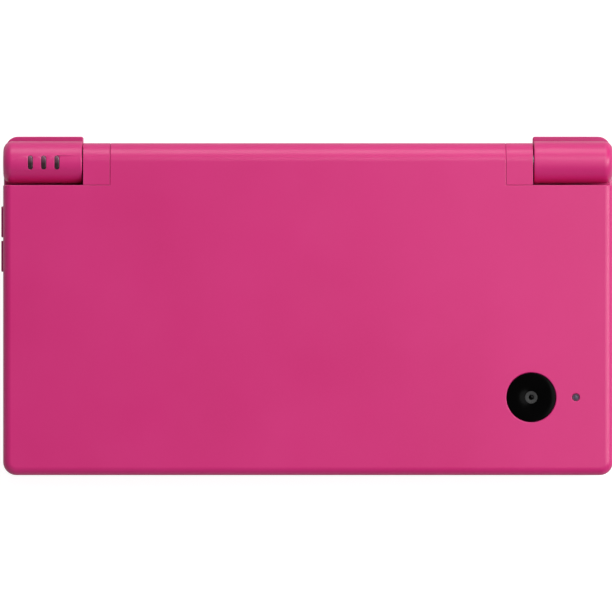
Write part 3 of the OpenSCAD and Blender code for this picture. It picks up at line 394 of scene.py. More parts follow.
def tracked_board():
    material, tree, shader = blank_material("tracked_board")
    place = stretched(tree, (7 * MM, 2.4 * MM, 2.4 * MM))
    tracks = add(tree, "ShaderNodeTexBrick", {"Vector": place, "Scale": 1.0, "Mortar Size": 0.06,
                                              "Color1": grey(0.0), "Color2": grey(0.2), "Mortar": grey(1.0)})
    level = add(tree, "ShaderNodeRGBToBW", {"Color": tracks.outputs["Color"]}).outputs[0]
    surface(tree, shader, mixed(tree, level, (0.004, 0.055, 0.024, 1), (0.02, 0.14, 0.06, 1)),
            spread_between(tree, level, 0.35, 0.25), level, 0.03 * MM, 0.6, coat=0.4)
    return material


def battery_wrap():
    material, tree, shader = blank_material("battery_film")
    creases = noise(tree, object_place(tree), 5 * MM, 6.0, seed=8.0)
    surface(tree, shader, mixed(tree, creases, grey(0.5), (0.62, 0.62, 0.58, 1)),
            spread_between(tree, creases, 0.4, 0.6), creases, 0.08 * MM, 0.4)
    return material


def amber_ribbon():
    material, tree, shader = blank_material("amber_ribbon")
    place = stretched(tree, (0.5 * MM, 0.5 * MM, 0.5 * MM))
    lines = add(tree, "ShaderNodeTexWave", {"Vector": place, "Scale": 1.0, "Distortion": 0.0},
                bands_direction="X").outputs["Fac"]
    edge = spread_between(tree, lines, 0.0, 1.0, 0.45, 0.55)
    surface(tree, shader, mixed(tree, edge, (0.42, 0.14, 0.02, 1), (0.6, 0.27, 0.06, 1)),
            spread_between(tree, lines, 0.25, 0.4), edge, 0.02 * MM, 0.4)
    return material


looks["bright_steel"] = rolled_steel("rolled_steel", grey(0.42), (0.6, 0.61, 0.63, 1))
looks["board_green"] = tracked_board()
looks["battery_wrap"] = battery_wrap()
looks["copper_film"] = amber_ribbon()
for node, solid in solids.items():
    solid.data.materials.clear()
    solid.data.materials.append(looks[slot_of[node]])
# Painted shade: the left sleeve's steel is painted almost black so that the gap beside its knuckle reads as a dark
# line.
solids["hinge_sleeve_left"].data.materials[0] = rolled_steel("steel_painted_dark_as_gap_shade", grey(0.012), grey(0.03))
print(len(looks), "finishes on", len(solids), "solids")

# %% [markdown]
# ## Casings with eased edges
# A moulding never has a knife edge: the tool leaves a tenth of a millimetre of rounding, and
# that thin band catches the light along every seam. The solids give the exact form, so the
# quickest true way is to copy a solid's mesh, weld its loose triangles, join the flat ones into
# whole faces and let a Bevel modifier round what is left. The rounding can throw a corner a hair
# past the solid, so it is turned into plain mesh and such corners are brought back. Weighted
# normals then keep the flat faces flat right up to the rounding.

# %% A copy of a solid with its edges rounded
def fit(piece, *stands_for):
    """Put a finished piece in the place of its solids."""
    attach(piece, body_of[stands_for[0]])
    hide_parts(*stands_for)
    return piece


def placed(name, mesh, *materials):
    piece = bpy.data.objects.new(name, mesh)
    bpy.context.scene.collection.objects.link(piece)
    for material in materials:
        mesh.materials.append(material)
    return piece


def whole_faces(node):
    """A solid's mesh, welded and with its flat triangles joined."""
    shape = bmesh.new()
    shape.from_mesh(solids[node].data)
    bmesh.ops.remove_doubles(shape, verts=shape.verts, dist=0.002 * MM)
    bmesh.ops.dissolve_limit(shape, angle_limit=math.radians(0.3), verts=shape.verts, edges=shape.edges)
    return shape


def eased_copy(node, name, width):
    mesh = bpy.data.meshes.new(name)
    shape = whole_faces(node)
    shape.to_mesh(mesh)
    shape.free()
    for face in mesh.polygons:
        face.use_smooth = True
    piece = placed(name, mesh, looks[slot_of[node]])
    bevel = piece.modifiers.new("eased_edges", "BEVEL")
    bevel.width = width
    bevel.segments = 3
    bevel.limit_method = "ANGLE"
    bevel.angle_limit = math.radians(35)
    bevel.use_clamp_overlap = False
    rounded = piece.evaluated_get(bpy.context.evaluated_depsgraph_get())
    piece.data = bpy.data.meshes.new_from_object(rounded)
    piece.modifiers.clear()
    least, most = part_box(node)
    for corner in piece.data.vertices:
        corner.co = [min(max(part, start), end) for part, start, end in zip(corner.co, least, most)]
    even = piece.modifiers.new("even_shading", "WEIGHTED_NORMAL")
    even.keep_sharp = True
    return fit(piece, node)


casings = {
    "lid_outer_shell": ("lid_back", 0.2 * MM),
    "lid_inner_shell": ("lid_bezel", 0.1 * MM),
    "base_top_shell": ("base_deck", 0.1 * MM),
    "base_bottom_shell": ("base_tray", 0.1 * MM),
    "battery_cover": ("battery_door", 0.15 * MM),
    "hinge_collar_left": ("left_collar", 0.06 * MM),
    "hinge_collar_right": ("right_collar", 0.06 * MM),
    "sd_card_door": ("memory_card_door", 0.12 * MM),
    "shoulder_button_left": ("left_shoulder_key", 0.25 * MM),
    "shoulder_button_right": ("right_shoulder_key", 0.25 * MM),
    "volume_up_key": ("volume_up", 0.2 * MM),
    "volume_down_key": ("volume_down", 0.2 * MM),
}
for node, (name, width) in casings.items():
    piece = eased_copy(node, name, width)
    print(name, len(piece.data.polygons), "faces")

# %% [markdown]
# ## Turned pieces: camera disc, lens and camera light
# Lenses, round buttons, feet and socket rings all come from one idea: draw half of the section
# and spin it round an axis, as on a lathe. Blender's Screw modifier could spin a drawn edge too,
# but a few lines of bmesh keep every radius in the script. `softened` first swaps each sharp
# corner of the section for a short curve, so that even a button's edge catches the light.

# %% Draw a section and spin it
def softened(corners, closed=False, steps=4):
    """Section whose corners (across, up, rounding) have become short curves."""
    points = []
    for index, (across, up, rounding) in enumerate(corners):
        here = Vector((across, up))
        if rounding == 0 or (not closed and index in (0, len(corners) - 1)):
            points.append(here)
            continue
        back = Vector(corners[index - 1][:2]) - here
        ahead = Vector(corners[(index + 1) % len(corners)][:2]) - here
        for step in range(steps + 1):
            share = step / steps
            points.append(here + back.normalized() * rounding * (1 - share) ** 2
                          + ahead.normalized() * rounding * share ** 2)
    return points


def spun(shape, section, centre, segments=48, closed=False, along="Z"):
    """Add a section, spun round a line through `centre`, to a bmesh."""
    rings = []
    for across, up in section:
        on_axis = across < 1e-9
        angles = [0.0] if on_axis else [math.tau * step / segments for step in range(segments)]
        ring = [Vector((across * math.cos(angle), across * math.sin(angle), up)) for angle in angles]
        if along == "X":
            ring = [Vector((spot.z, spot.x, spot.y)) for spot in ring]
        elif along == "Y":
            ring = [Vector((spot.y, spot.z, spot.x)) for spot in ring]
        rings.append([shape.verts.new(centre + spot) for spot in ring])
    pairs = list(zip(rings, rings[1:])) + ([(rings[-1], rings[0])] if closed else [])
    for first, second in pairs:
        for step in range(segments):
            ahead = (step + 1) % segments
            corners = [first[step % len(first)], first[ahead % len(first)],
                       second[ahead % len(second)], second[step % len(second)]]
            corners = [corner for index, corner in enumerate(corners) if corner not in corners[:index]]
            if len(corners) > 2:
                shape.faces.new(corners)


def finished(name, shape, *materials, sharper_than=38):
    """Turn a bmesh into a smooth-shaded object at the origin."""
    bmesh.ops.recalc_face_normals(shape, faces=shape.faces)
    mesh = bpy.data.meshes.new(name)
    shape.to_mesh(mesh)
    shape.free()
    for face in mesh.polygons:
        face.use_smooth = True
    mesh.set_sharp_from_angle(angle=math.radians(sharper_than))
    return placed(name, mesh, *materials)


def turned(name, section, centre, *materials, closed=False, along="Z", segments=64):
    shape = bmesh.new()
    spun(shape, section, centre, segments, closed, along)
    return finished(name, shape, *materials)


print("one softened corner has", len(softened([(0, 0, 0), (1, 0, 0.2), (1, 1, 0)])) - 2, "points")

# %% [markdown]
# The disc over the outer camera is one polished black cover, flat right up to its edge; the
# thin light line round it is the eased edge of the lid's own pocket. The lens is a dark grey
# ring, flush with the disc, with a shallow throat and a small black glass dome in it. The camera
# light is a pale grain of glass in a dark collar.

# %% Camera disc, lens ring and lens glass
disc_centre = floor_point("camera_window")
disc_radius, eye_radius = half_span("camera_window"), half_span("camera_lens")
disc_foot, disc_face = low("camera_window").z, high("camera_window").z
eye_foot, eye_face = low("camera_lens").z, high("camera_lens").z
bore = eye_radius + 0.02 * MM
disc_edge = 0.09 * MM
camera_disc = turned("camera_disc", softened([
    (bore, disc_foot, 0), (disc_radius, disc_foot, 0), (disc_radius, disc_face - disc_edge, 0.02 * MM),
    (disc_radius - disc_edge, disc_face, 0.02 * MM), (bore, disc_face, 0.03 * MM),
], closed=True), disc_centre, looks["black_gloss"], closed=True, segments=128)
fit(camera_disc, "camera_window")

ring_finish = moulded("anodised_lens_ring", grey(0.014), grey(0.019), grey(0.04), rough=(0.5, 0.6))
throat_floor = eye_face - 0.34 * MM
lens_ring = turned("lens_ring", softened([
    (0, eye_foot, 0), (eye_radius, eye_foot, 0), (eye_radius, eye_face, 0.06 * MM),
    (0.62 * MM, eye_face - 0.06 * MM, 0.05 * MM), (0.58 * MM, throat_floor, 0), (0, throat_floor, 0),
]), disc_centre, ring_finish)
fit(lens_ring, "camera_lens")
dome_radius, dome_foot = 0.56 * MM, eye_face - 0.33 * MM
dome = [(dome_radius * math.cos(angle), eye_face - 0.3 * MM + 0.16 * MM * math.sin(angle))
        for angle in (math.radians(step * 15) for step in range(6))]
dome = [(0, dome_foot), (dome_radius, dome_foot)] + dome + [(0, eye_face - 0.14 * MM)]
lens_glass = turned("lens_glass", dome, disc_centre, looks["black_gloss"], segments=48)
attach(lens_glass, body_of["camera_lens"])
print(f"camera disc {disc_radius * 2 / MM:.2f} mm, lens {eye_radius * 2 / MM:.2f} mm")

# %% Camera light: a grain of glass in a collar
lamp_centre = floor_point("camera_light")
lamp_foot, lamp_face = low("camera_light").z, high("camera_light").z
lamp_flange = half_span("camera_light")
lamp_radius = lamp_flange - 0.6 * MM
grain_radius = lamp_radius * 0.62
seat = grain_radius + 0.02 * MM
collar_finish = moulded("dark_lamp_collar", (0.07, 0.02, 0.05, 1), (0.09, 0.03, 0.07, 1),
                        (0.2, 0.08, 0.16, 1), rough=(0.4, 0.5))
camera_lamp = turned("camera_lamp", softened([
    (0, lamp_foot, 0), (lamp_flange, lamp_foot, 0), (lamp_flange, lamp_foot + 0.5 * MM, 0.05 * MM),
    (lamp_radius, lamp_foot + 0.55 * MM, 0), (lamp_radius, lamp_face - 0.08 * MM, 0.05 * MM),
    (seat, lamp_face - 0.1 * MM, 0.03 * MM), (seat, lamp_face - 0.3 * MM, 0), (0, lamp_face - 0.3 * MM, 0),
]), lamp_centre, collar_finish, segments=48)
fit(camera_lamp, "camera_light")
grain = turned("lamp_grain", softened([
    (0, lamp_face - 0.29 * MM, 0), (grain_radius, lamp_face - 0.29 * MM, 0),
    (grain_radius, lamp_face - 0.06 * MM, 0.1 * MM), (grain_radius * 0.5, lamp_face, 0.1 * MM),
    (0, lamp_face, 0),
]), lamp_centre, looks["light_guide"], segments=48)
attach(grain, body_of["camera_light"])
print(f"camera light {lamp_radius * 2 / MM:.2f} mm")

# %% [markdown]
# ## Three windows in the left knuckle
# Each indicator window is a small pill of smoked plastic that follows the round of the knuckle.
# It is lofted: rings of the same pill, first full size and deep, then a little smaller and lifted onto the
# knuckle's cylinder, are joined one to the next. Its colour holds painted light: the front half is painted darker
# as a painted shade of the recess, and the pigment is painted paler towards the hinge's back as a painted
# reflection of the light from behind.

# %% Loft rings into a closed piece
def lofted(shape, rings):
    """Join rings of equal length with faces and close both ends."""
    rows = [[shape.verts.new(spot) for spot in ring] for ring in rings]
    for first, second in zip(rows, rows[1:]):
        for step in range(len(first)):
            ahead = (step + 1) % len(first)
            shape.faces.new((first[step], first[ahead], second[ahead], second[step]))
    shape.faces.new(list(reversed(rows[0])))
    shape.faces.new(rows[-1])


def pill_ring(half_width, half_length, steps=10):
    """Points round a pill that lies along Y, in its own plane."""
    ends = []
    for side, start in ((1, 0.0), (-1, math.pi)):
        for step in range(steps + 1):
            angle = start + math.pi * step / steps
            ends.append((half_width * math.cos(angle),
                         side * (half_length - half_width) + half_width * math.sin(angle)))
    return ends


def smoked_windows_painted_reflection_and_shade():
    """Smoked pigment with painted light: painted paler towards the back of each window as a painted reflection,
    and darker at the front as painted shade.
    """
    material, tree, shader = blank_material("smoked_windows_painted_reflection_and_shade")
    place = object_place(tree)
    depth = add(tree, "ShaderNodeSeparateXYZ", {"Vector": place}).outputs["Y"]
    back = middle("indicator_windows").y
    # Painted light: the colour is painted paler towards the window's back, a painted reflection, and darker at its
    # front, a painted shade.
    painted_reflection = spread_between(tree, depth, 0.0, 1.0, back - 0.2 * MM, back + 1.3 * MM)
    tone = mixed(tree, painted_reflection, (0.03, 0.012, 0.018, 1), (0.2, 0.075, 0.13, 1))
    smears = noise(tree, place, 1.2 * MM, 3.0, seed=9.0)
    surface(tree, shader, tone, spread_between(tree, smears, 0.18, 0.3),
            noise(tree, place, 0.2 * MM, 2.0, seed=10.0), 0.004 * MM, 0.4, coat=0.3)
    return material


shape = bmesh.new()
knuckle_line = (high("base_top_shell").z - hinge_z) - 0.05 * MM
for corner_low, corner_high in loose_boxes("indicator_windows"):
    centre = (corner_low + corner_high) / 2
    half_width = (corner_high.x - corner_low.x) / 2
    half_length = (corner_high.y - corner_low.y) / 2
    rings = []
    for inset, drop in ((0, None), (0, 0.1), (0.03, 0.05), (0.1, 0.02), (0.25, 0.0), (0.5, 0.0)):
        ring = []
        for across, along in pill_ring(half_width - inset * MM, half_length - inset * MM):
            spot = centre + Vector((across, along, 0))
            rise = math.sqrt(knuckle_line ** 2 - (spot.y - hinge_y) ** 2)
            spot.z = corner_low.z if drop is None else hinge_z + rise - drop * MM
            ring.append(spot)
        rings.append(ring)
    lofted(shape, rings)
windows = finished("indicator_panes", shape, smoked_windows_painted_reflection_and_shade(), sharper_than=50)
fit(windows, "indicator_windows")
print("indicator windows", len(windows.data.polygons), "faces")

# %% [markdown]
# ## Round buttons
# Face buttons, start, select and power are turned caps on a thin flange. A thumb rests on the
# crown, so the top swells by a tenth of a millimetre and its edge is rounded wide. The section is
# the same for all seven, and only the radius changes.

# %% Seven caps
def button_cap(node, name):
    flange_radius = half_span(node)
    radius = flange_radius - 0.6 * MM
    foot, top = low(node).z, high(node).z
    flange_top = foot + 0.45 * MM
    section = softened([
        (0, foot, 0), (flange_radius, foot, 0), (flange_radius, flange_top, 0.1 * MM),
        (radius, flange_top, 0.08 * MM), (radius, top - 0.42 * MM, 0),
        (radius - 0.04 * MM, top - 0.1 * MM, 0.25 * MM), (radius - 0.55 * MM, top - 0.06 * MM, 0.3 * MM),
        (radius * 0.45, top - 0.01 * MM, 0.4 * MM), (0, top, 0),
    ])
    fit(turned(name, section, floor_point(node), looks[slot_of[node]], segments=72), node)


caps = {
    "button_a": "right_face_button", "button_b": "front_face_button", "button_x": "back_face_button",
    "button_y": "left_face_button", "start_button": "start_cap", "select_button": "select_cap",
    "power_button": "power_cap",
}
for node, name in caps.items():
    button_cap(node, name)
print(len(caps), "button caps")

# %% [markdown]
# ## Direction pad
# The pad is a plus sign whose inner corners are filleted, with a thumb dish in the middle and a
# small raised arrow on each arm. Its outline is offset inwards ring by ring and lifted along a
# quarter circle, which rounds the top edge evenly, corners included. The dish is the last part
# of the loft: rings that shrink to a circle and drop along a sphere.

# %% The plus outline, offset and rounded
def plus_outline(reach, half_arm, inset, outer=0.9, inner=1.0, steps=5):
    """Plus sign with filleted corners, moved inwards by `inset`, all in millimetres."""
    reach, half_arm = reach - inset, half_arm - inset
    outer, inner = max(outer - inset, 0.05), inner + inset
    quarter = [((reach - outer, half_arm - outer), outer, 0, 90),
               ((half_arm + inner, half_arm + inner), inner, 270, 180),
               ((half_arm - outer, reach - outer), outer, 0, 90)]
    points = []
    for turn in range(4):
        for (across, along), radius, start, end in quarter:
            for step in range(steps + 1):
                angle = math.radians(start + (end - start) * step / steps)
                spot = Vector((across + radius * math.cos(angle), along + radius * math.sin(angle)))
                spot.rotate(Matrix.Rotation(math.radians(90 * turn), 2))
                points.append(spot)
    return points


pad_centre = floor_point("dpad")


def pad_ring(outline, height):
    """Outline in millimetres, set over the middle of the pad at a height."""
    return [pad_centre + Vector((spot.x * MM, spot.y * MM, height)) for spot in outline]


pad_reach, pad_arm = 9.95, 3.35
print("outline has", len(plus_outline(pad_reach, pad_arm, 0)), "points")

# %% Pad on its disc, with a thumb dish
pad_foot, pad_top = low("dpad").z, high("dpad").z
pad_disc = half_span("dpad")
disc_top = pad_foot + 0.3 * MM
pad_plane = pad_top - 0.08 * MM
shape = bmesh.new()
disc_section = [(0, pad_foot, 0), (pad_disc, pad_foot, 0), (pad_disc, disc_top, 0.08 * MM), (0, disc_top, 0)]
spun(shape, softened(disc_section), pad_centre, segments=96)
rounding = [(0.5 - 0.5 * math.cos(angle), -0.5 + 0.45 * math.sin(angle))
            for angle in (math.radians(turn) for turn in (15, 30, 45, 60, 75, 90))]
rings = []
for inset, rise in [(0, -3.2), (0, -0.55)] + rounding + [(0.9, 0.0)]:
    height = max(pad_plane + rise * MM, disc_top - 0.02 * MM)
    rings.append(pad_ring(plus_outline(pad_reach, pad_arm, inset), height))
flat = plus_outline(pad_reach, pad_arm, 0.9)
dish_radius, dish_depth, smallest_ring = 2.2, 0.32, 0.12
for share in (0.0, 0.35, 0.65, 1.0):
    radius = dish_radius * (1 - share)
    drop = dish_depth * (1 - (radius / dish_radius) ** 2)
    circle = [spot.normalized() * max(radius, smallest_ring) for spot in flat]
    rings.append(pad_ring(circle, pad_plane - drop * MM))
lofted(shape, rings)
print("pad", len(shape.faces), "faces, reach", pad_reach, "mm")

# %% Four raised arrows
arrow_middle, arrow_half_width, arrow_foot, arrow_tip = 7.7, 0.95, 0.5, 0.85
for turn in range(4):
    rings = []
    for size, height in ((1.0, pad_plane - 0.05 * MM), (1.0, pad_plane + 0.03 * MM), (0.82, pad_top)):
        foot = arrow_middle - arrow_foot * size
        arrow = softened([(-arrow_half_width * size, foot, 0.3), (arrow_half_width * size, foot, 0.3),
                          (0, arrow_middle + arrow_tip * size, 0.3)], closed=True)
        for spot in arrow:
            spot.rotate(Matrix.Rotation(math.radians(90 * turn), 2))
        rings.append(pad_ring(arrow, height))
    lofted(shape, rings)
direction_pad = finished("direction_pad", shape, looks["control_grey"], sharper_than=40)
fit(direction_pad, "dpad")
print("direction pad", len(direction_pad.data.polygons), "faces with its arrows")

# %% [markdown]
# ## Two screens
# Each screen is a sheet with a black printed border and, behind its clear middle, the switched-off
# display, a shade greyer and cooler. The border could be a second object, but ink on the back of
# a sheet has no height, so it belongs in the material: a box mask on Object coordinates. The lower
# sheet is a touch film, softer in its shine than the upper window.

# %% Rounded sheets with a printed border
def rounded_rectangle(half_width, half_depth, radius, inset, steps=6):
    """Points round a rectangle with rounded corners, moved inwards by `inset`."""
    half_width, half_depth, radius = half_width - inset, half_depth - inset, max(radius - inset, 0.02 * MM)
    points = []
    for turn, (across, along) in enumerate(((1, 1), (-1, 1), (-1, -1), (1, -1))):
        for step in range(steps + 1):
            angle = math.radians(90 * (turn + step / steps))
            points.append(Vector((across * (half_width - radius) + radius * math.cos(angle),
                                  along * (half_depth - radius) + radius * math.sin(angle))))
    return points


def screen_finish(name, centre, half_width, half_depth, rough, coat):
    material, tree, shader = blank_material(name)
    place = object_place(tree)
    parts = add(tree, "ShaderNodeSeparateXYZ", {"Vector": place})
    inside = []
    for axis, centre_part, half in (("X", centre.x, half_width), ("Y", centre.y, half_depth)):
        off = add(tree, "ShaderNodeMath", {0: parts.outputs[axis], 1: centre_part}, operation="SUBTRACT")
        away = add(tree, "ShaderNodeMath", {0: off.outputs[0]}, operation="ABSOLUTE")
        inside.append(spread_between(tree, away.outputs[0], 1.0, 0.0, half - 0.03 * MM, half + 0.03 * MM))
    window = add(tree, "ShaderNodeMath", {0: inside[0], 1: inside[1]}, operation="MULTIPLY").outputs[0]
    smears = noise(tree, place, 8 * MM, 5.0, seed=11.0)
    cell = mixed(tree, spread_between(tree, smears, 0.0, 1.0), (0.011, 0.012, 0.015, 1),
                 (0.014, 0.015, 0.018, 1))
    surface(tree, shader, mixed(tree, window, grey(0.0035), cell), spread_between(tree, smears, *rough),
            noise(tree, place, 22 * MM, 1.0, seed=12.0), 0.01 * MM, 0.12, coat, 0.05)
    return material


picture_half_width, picture_half_depth = 33 * MM, 24.75 * MM
corner_radius = 0.9 * MM
sheet_section = ((0.12, -1.0), (0.03, -0.96), (0.0, -0.85),
                 (0.0, 0.85), (0.03, 0.96), (0.12, 1.0), (1.2, 1.0))
for node, name, rough, coat in (("touch_panel", "touch_sheet", (0.16, 0.26), 0.2),
                                ("upper_window", "upper_sheet", (0.03, 0.1), 0.6)):
    centre, half = middle(node), (high(node) - low(node)) / 2
    rings = []
    for inset, rise in sheet_section:
        outline = rounded_rectangle(half.x, half.y, corner_radius, inset * MM)
        rings.append([Vector((centre.x + spot.x, centre.y + spot.y, centre.z + rise * half.z))
                      for spot in outline])
    shape = bmesh.new()
    lofted(shape, rings)
    finish = screen_finish(name + "_finish", centre, picture_half_width, picture_half_depth, rough, coat)
    fit(finished(name, shape, finish), node)
    print(name, "picture", 2 * picture_half_width / MM, "x", 2 * picture_half_depth / MM, "mm")

# %% [markdown]
# ## Screws, set by Geometry Nodes
# Twelve screws in three lengths hold the console together. They are one drawing repeated, which
# is what Geometry Nodes is for: a bare point marks each seat, Instance on Points sets the screw
# there, a random turn keeps the cross slots from lining up, and Realize Instances makes real
# mesh of it. The tree is built here with named inputs, so the same tree sets contacts and rims
# later on. Its result is then kept as a plain mesh.

# %% A tree that sets one piece on many seats
def setting_tree():
    tree = bpy.data.node_groups.new("set_on_seats", "GeometryNodeTree")
    for name, kind in (("Seats", "Geometry"), ("Piece", "Object"), ("Largest turn", "Float"),
                       ("Seed", "Int"), ("Finish", "Material")):
        tree.interface.new_socket(name, in_out="INPUT", socket_type="NodeSocket" + kind)
    tree.interface.new_socket("Pieces", in_out="OUTPUT", socket_type="NodeSocketGeometry")
    given = tree.nodes.new("NodeGroupInput").outputs
    drawn = add(tree, "GeometryNodeObjectInfo", {"Object": given["Piece"]})
    turn = add(tree, "FunctionNodeRandomValue", {2: 0.0, 3: given["Largest turn"], "Seed": given["Seed"]},
               data_type="FLOAT")
    upright = add(tree, "ShaderNodeCombineXYZ", {"Z": turn.outputs[1]})
    setting = add(tree, "GeometryNodeInstanceOnPoints", {
        "Points": given["Seats"], "Instance": drawn.outputs["Geometry"],
        "Rotation": upright.outputs["Vector"]})
    real = add(tree, "GeometryNodeRealizeInstances", {"Geometry": setting.outputs["Instances"]})
    painted = add(tree, "GeometryNodeSetMaterial", {"Geometry": real.outputs["Geometry"],
                                                    "Material": given["Finish"]})
    add(tree, "NodeGroupOutput", {"Pieces": painted.outputs["Geometry"]})
    return tree


seat_setter = setting_tree()
input_of = {item.name: item.identifier for item in seat_setter.interface.items_tree
            if item.in_out == "INPUT"}


def set_on_seats(name, seats, piece, finish, largest_turn=0.0, seed=1):
    """Mesh of `piece` standing on every seat, as one object at the origin."""
    points = bpy.data.meshes.new(name + "_seats")
    points.from_pydata([tuple(seat) for seat in seats], [], [])
    holder = placed(name + "_seats", points)
    setter = holder.modifiers.new("set_on_seats", "NODES")
    setter.node_group = seat_setter
    for label, value in (("Piece", piece), ("Largest turn", float(largest_turn)), ("Seed", seed),
                         ("Finish", finish)):
        setter[input_of[label]] = value
    bpy.context.view_layer.update()
    ready = holder.evaluated_get(bpy.context.evaluated_depsgraph_get())
    mesh = bpy.data.meshes.new_from_object(ready)
    mesh.name = name
    bpy.data.objects.remove(holder)
    bpy.data.objects.remove(piece)
    return placed(name, mesh)


print("the tree takes", sorted(input_of))

# %% [markdown]
# The screw itself is lofted from the floor of its cross slot out over the head and up the
# threaded shank. Every ring has as many points as the cross, so the rings join one to one.

# %% Draw one screw and set it twelve times
def screw_piece(name, head_height, length, slot_depth, head_radius=1.5, shank_radius=0.8, pitch=0.35):
    """Screw whose seat is at the origin, with its head below and its shank above, in millimetres."""
    cross = plus_outline(0.95, 0.19, 0.0, outer=0.05, inner=0.12, steps=2)
    cross_floor = plus_outline(0.75, 0.12, 0.0, outer=0.04, inner=0.12, steps=2)
    round_ring = [spot.normalized() for spot in cross]
    rings = [[(spot.x, spot.y, slot_depth - head_height) for spot in cross_floor],
             [(spot.x, spot.y, -head_height) for spot in cross]]
    outside = [(0.78 * head_radius, -head_height), (0.93 * head_radius, 0.09 - head_height),
               (head_radius, 0.3 - head_height), (head_radius, 0.0), (shank_radius, 0.0)]
    for turn in range(int(length / pitch) - 1):
        outside += [(shank_radius * 0.82, pitch * turn + 0.12), (shank_radius, pitch * turn + 0.3)]
    outside += [(shank_radius * 0.8, length - 0.2), (shank_radius * 0.3, length)]
    for radius, height in outside:
        rings.append([(spot.x * radius, spot.y * radius, height) for spot in round_ring])
    shape = bmesh.new()
    lofted(shape, [[Vector(spot) * MM for spot in ring] for ring in rings])
    return finished(name, shape, sharper_than=30)


screw_sets = {
    "case_screws": ("case_screw_set", 0.8, 0.45, 3),
    "battery_cover_screws": ("battery_door_screws", 0.5, 0.3, 5),
    "lid_screws": ("lid_screw_set", 0.7, 0.35, 7),
}
for node, (name, head_height, slot_depth, seed) in screw_sets.items():
    boxes = loose_boxes(node)
    length = (boxes[0][1].z - boxes[0][0].z) / MM - head_height
    seats = [Vector(((start.x + end.x) / 2, (start.y + end.y) / 2, start.z + head_height * MM))
             for start, end in boxes]
    drawn = screw_piece(name + "_drawing", head_height, length, slot_depth)
    screws = set_on_seats(name, seats, drawn, looks["bright_steel"], largest_turn=math.tau, seed=seed)
    fit(screws, node)
    print(name, len(seats), "screws,", f"{length:.1f} mm,", len(screws.data.polygons), "faces")

# %% [markdown]
# ## Rubber feet and lid bumpers
# Feet and bumpers are stamped rubber discs, a little domed and with a soft rim. They stand four
# times in one node each, so all four are spun into one mesh at the places of its loose parts.

# %% Rubber discs
def rubber_discs(node, name, rim, swell):
    shape = bmesh.new()
    for corner_low, corner_high in loose_boxes(node):
        centre = (corner_low + corner_high) / 2
        radius = (corner_high.x - corner_low.x) / 2
        foot, top = corner_low.z - centre.z, corner_high.z - centre.z
        spun(shape, softened([
            (0, foot, 0), (radius * 0.55, foot, 0.2 * MM), (radius * 0.6, foot + swell, 0.05 * MM),
            (radius * 0.68, foot + swell, 0.05 * MM), (radius * 0.74, foot, 0.1 * MM), (radius, foot, rim),
            (radius, top, 0.05 * MM), (0, top, 0),
        ]), centre, segments=56)
    return fit(finished(name, shape, looks["rubber_grey"]), node)


feet = rubber_discs("rubber_feet", "rubber_foot_pads", 0.3 * MM, 0.12 * MM)
bumpers = rubber_discs("lid_bumpers", "lid_bumper_pads", 0.15 * MM, 0.06 * MM)
print("rubber:", len(feet.data.polygons), "and", len(bumpers.data.polygons), "faces")

# %% [markdown]
# ## Sockets and their contacts
# A socket reads as a socket by the bright things in its dark mouth. The headphone socket gets a
# turned ring with gold plating, and the game card slot and the charge socket get rows of gold
# spring contacts, drawn once and set in a row by the tree that set the screws.

# %% Headphone ring
gold = rolled_steel("gold_plating", (0.62, 0.4, 0.12, 1), (0.75, 0.52, 0.2, 1))
for node, name in (("headphone_jack", "headphone_socket"), ("charge_socket", "charge_port")):
    eased_copy(node, name, 0.08 * MM)
socket_body = "headphone_jack"
ring_centre = Vector((middle(socket_body).x, low(socket_body).y, middle(socket_body).z))
plug_radius = 1.8 * MM
plated_ring = turned("headphone_ring", softened([
    (plug_radius, 0.1 * MM, 0.03 * MM), (plug_radius + 0.4 * MM, 0.1 * MM, 0.05 * MM),
    (plug_radius + 0.4 * MM, -0.02 * MM, 0.04 * MM), (plug_radius + 0.08 * MM, -0.02 * MM, 0.05 * MM),
], closed=True), ring_centre, gold, closed=True, along="Y")
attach(plated_ring, body_of[socket_body])
print(f"headphone ring {2 * plug_radius / MM:.1f} mm inside")

# %% Rows of spring contacts
def contact_piece(name, width, length, thickness):
    """Leaf spring that rises from its foot and dips to its tip, along Y from the origin."""
    shape = bmesh.new()
    crown = [(0.0, 0.0), (0.25, 0.1), (0.55, 0.42), (0.75, 0.5), (0.9, 0.42), (1.0, 0.25)]
    rings = []
    for share, lift in crown:
        half = width / 2 * (1.0 if share < 0.6 else 1.25 - 0.45 * share)
        along, rise = share * length, lift * 1.2
        rings.append([Vector((side * half, along, rise + up)) * MM for side, up in
                      ((-1, 0), (1, 0), (1, thickness), (-1, thickness))])
    lofted(shape, rings)
    return finished(name, shape, sharper_than=25)


def contact_row(node, name, count, pitch, inner_end, floor, length=3.0):
    seats = [Vector((middle(node).x + (index - (count - 1) / 2) * pitch * MM, inner_end, floor))
             for index in range(count)]
    drawn = contact_piece(name + "_drawing", pitch * 0.55, length, 0.12)
    row = set_on_seats(name, seats, drawn, gold, seed=2)
    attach(row, body_of[node])
    print(name, count, "contacts")


contact_row("game_card_slot", "game_card_contacts", 17, 1.8, low("game_card_slot").y + 0.8 * MM,
            low("game_card_slot").z + 0.27 * MM)
contact_row("charge_socket", "charge_contacts", 5, 0.9, low("charge_socket").y + 1.6 * MM,
            middle("charge_socket").z + 0.36 * MM, length=3.5)

# %% [markdown]
# ## Sound holes
# Three rows of two holes let the sound out on each side of the upper screen. Each hole has a
# small sunk rim, and behind it a black cloth keeps dust out of the speaker. The rims are one
# turned ring on twelve seats; the cloth is a weave in the speaker's material, two crossed waves
# as fine as the thread.

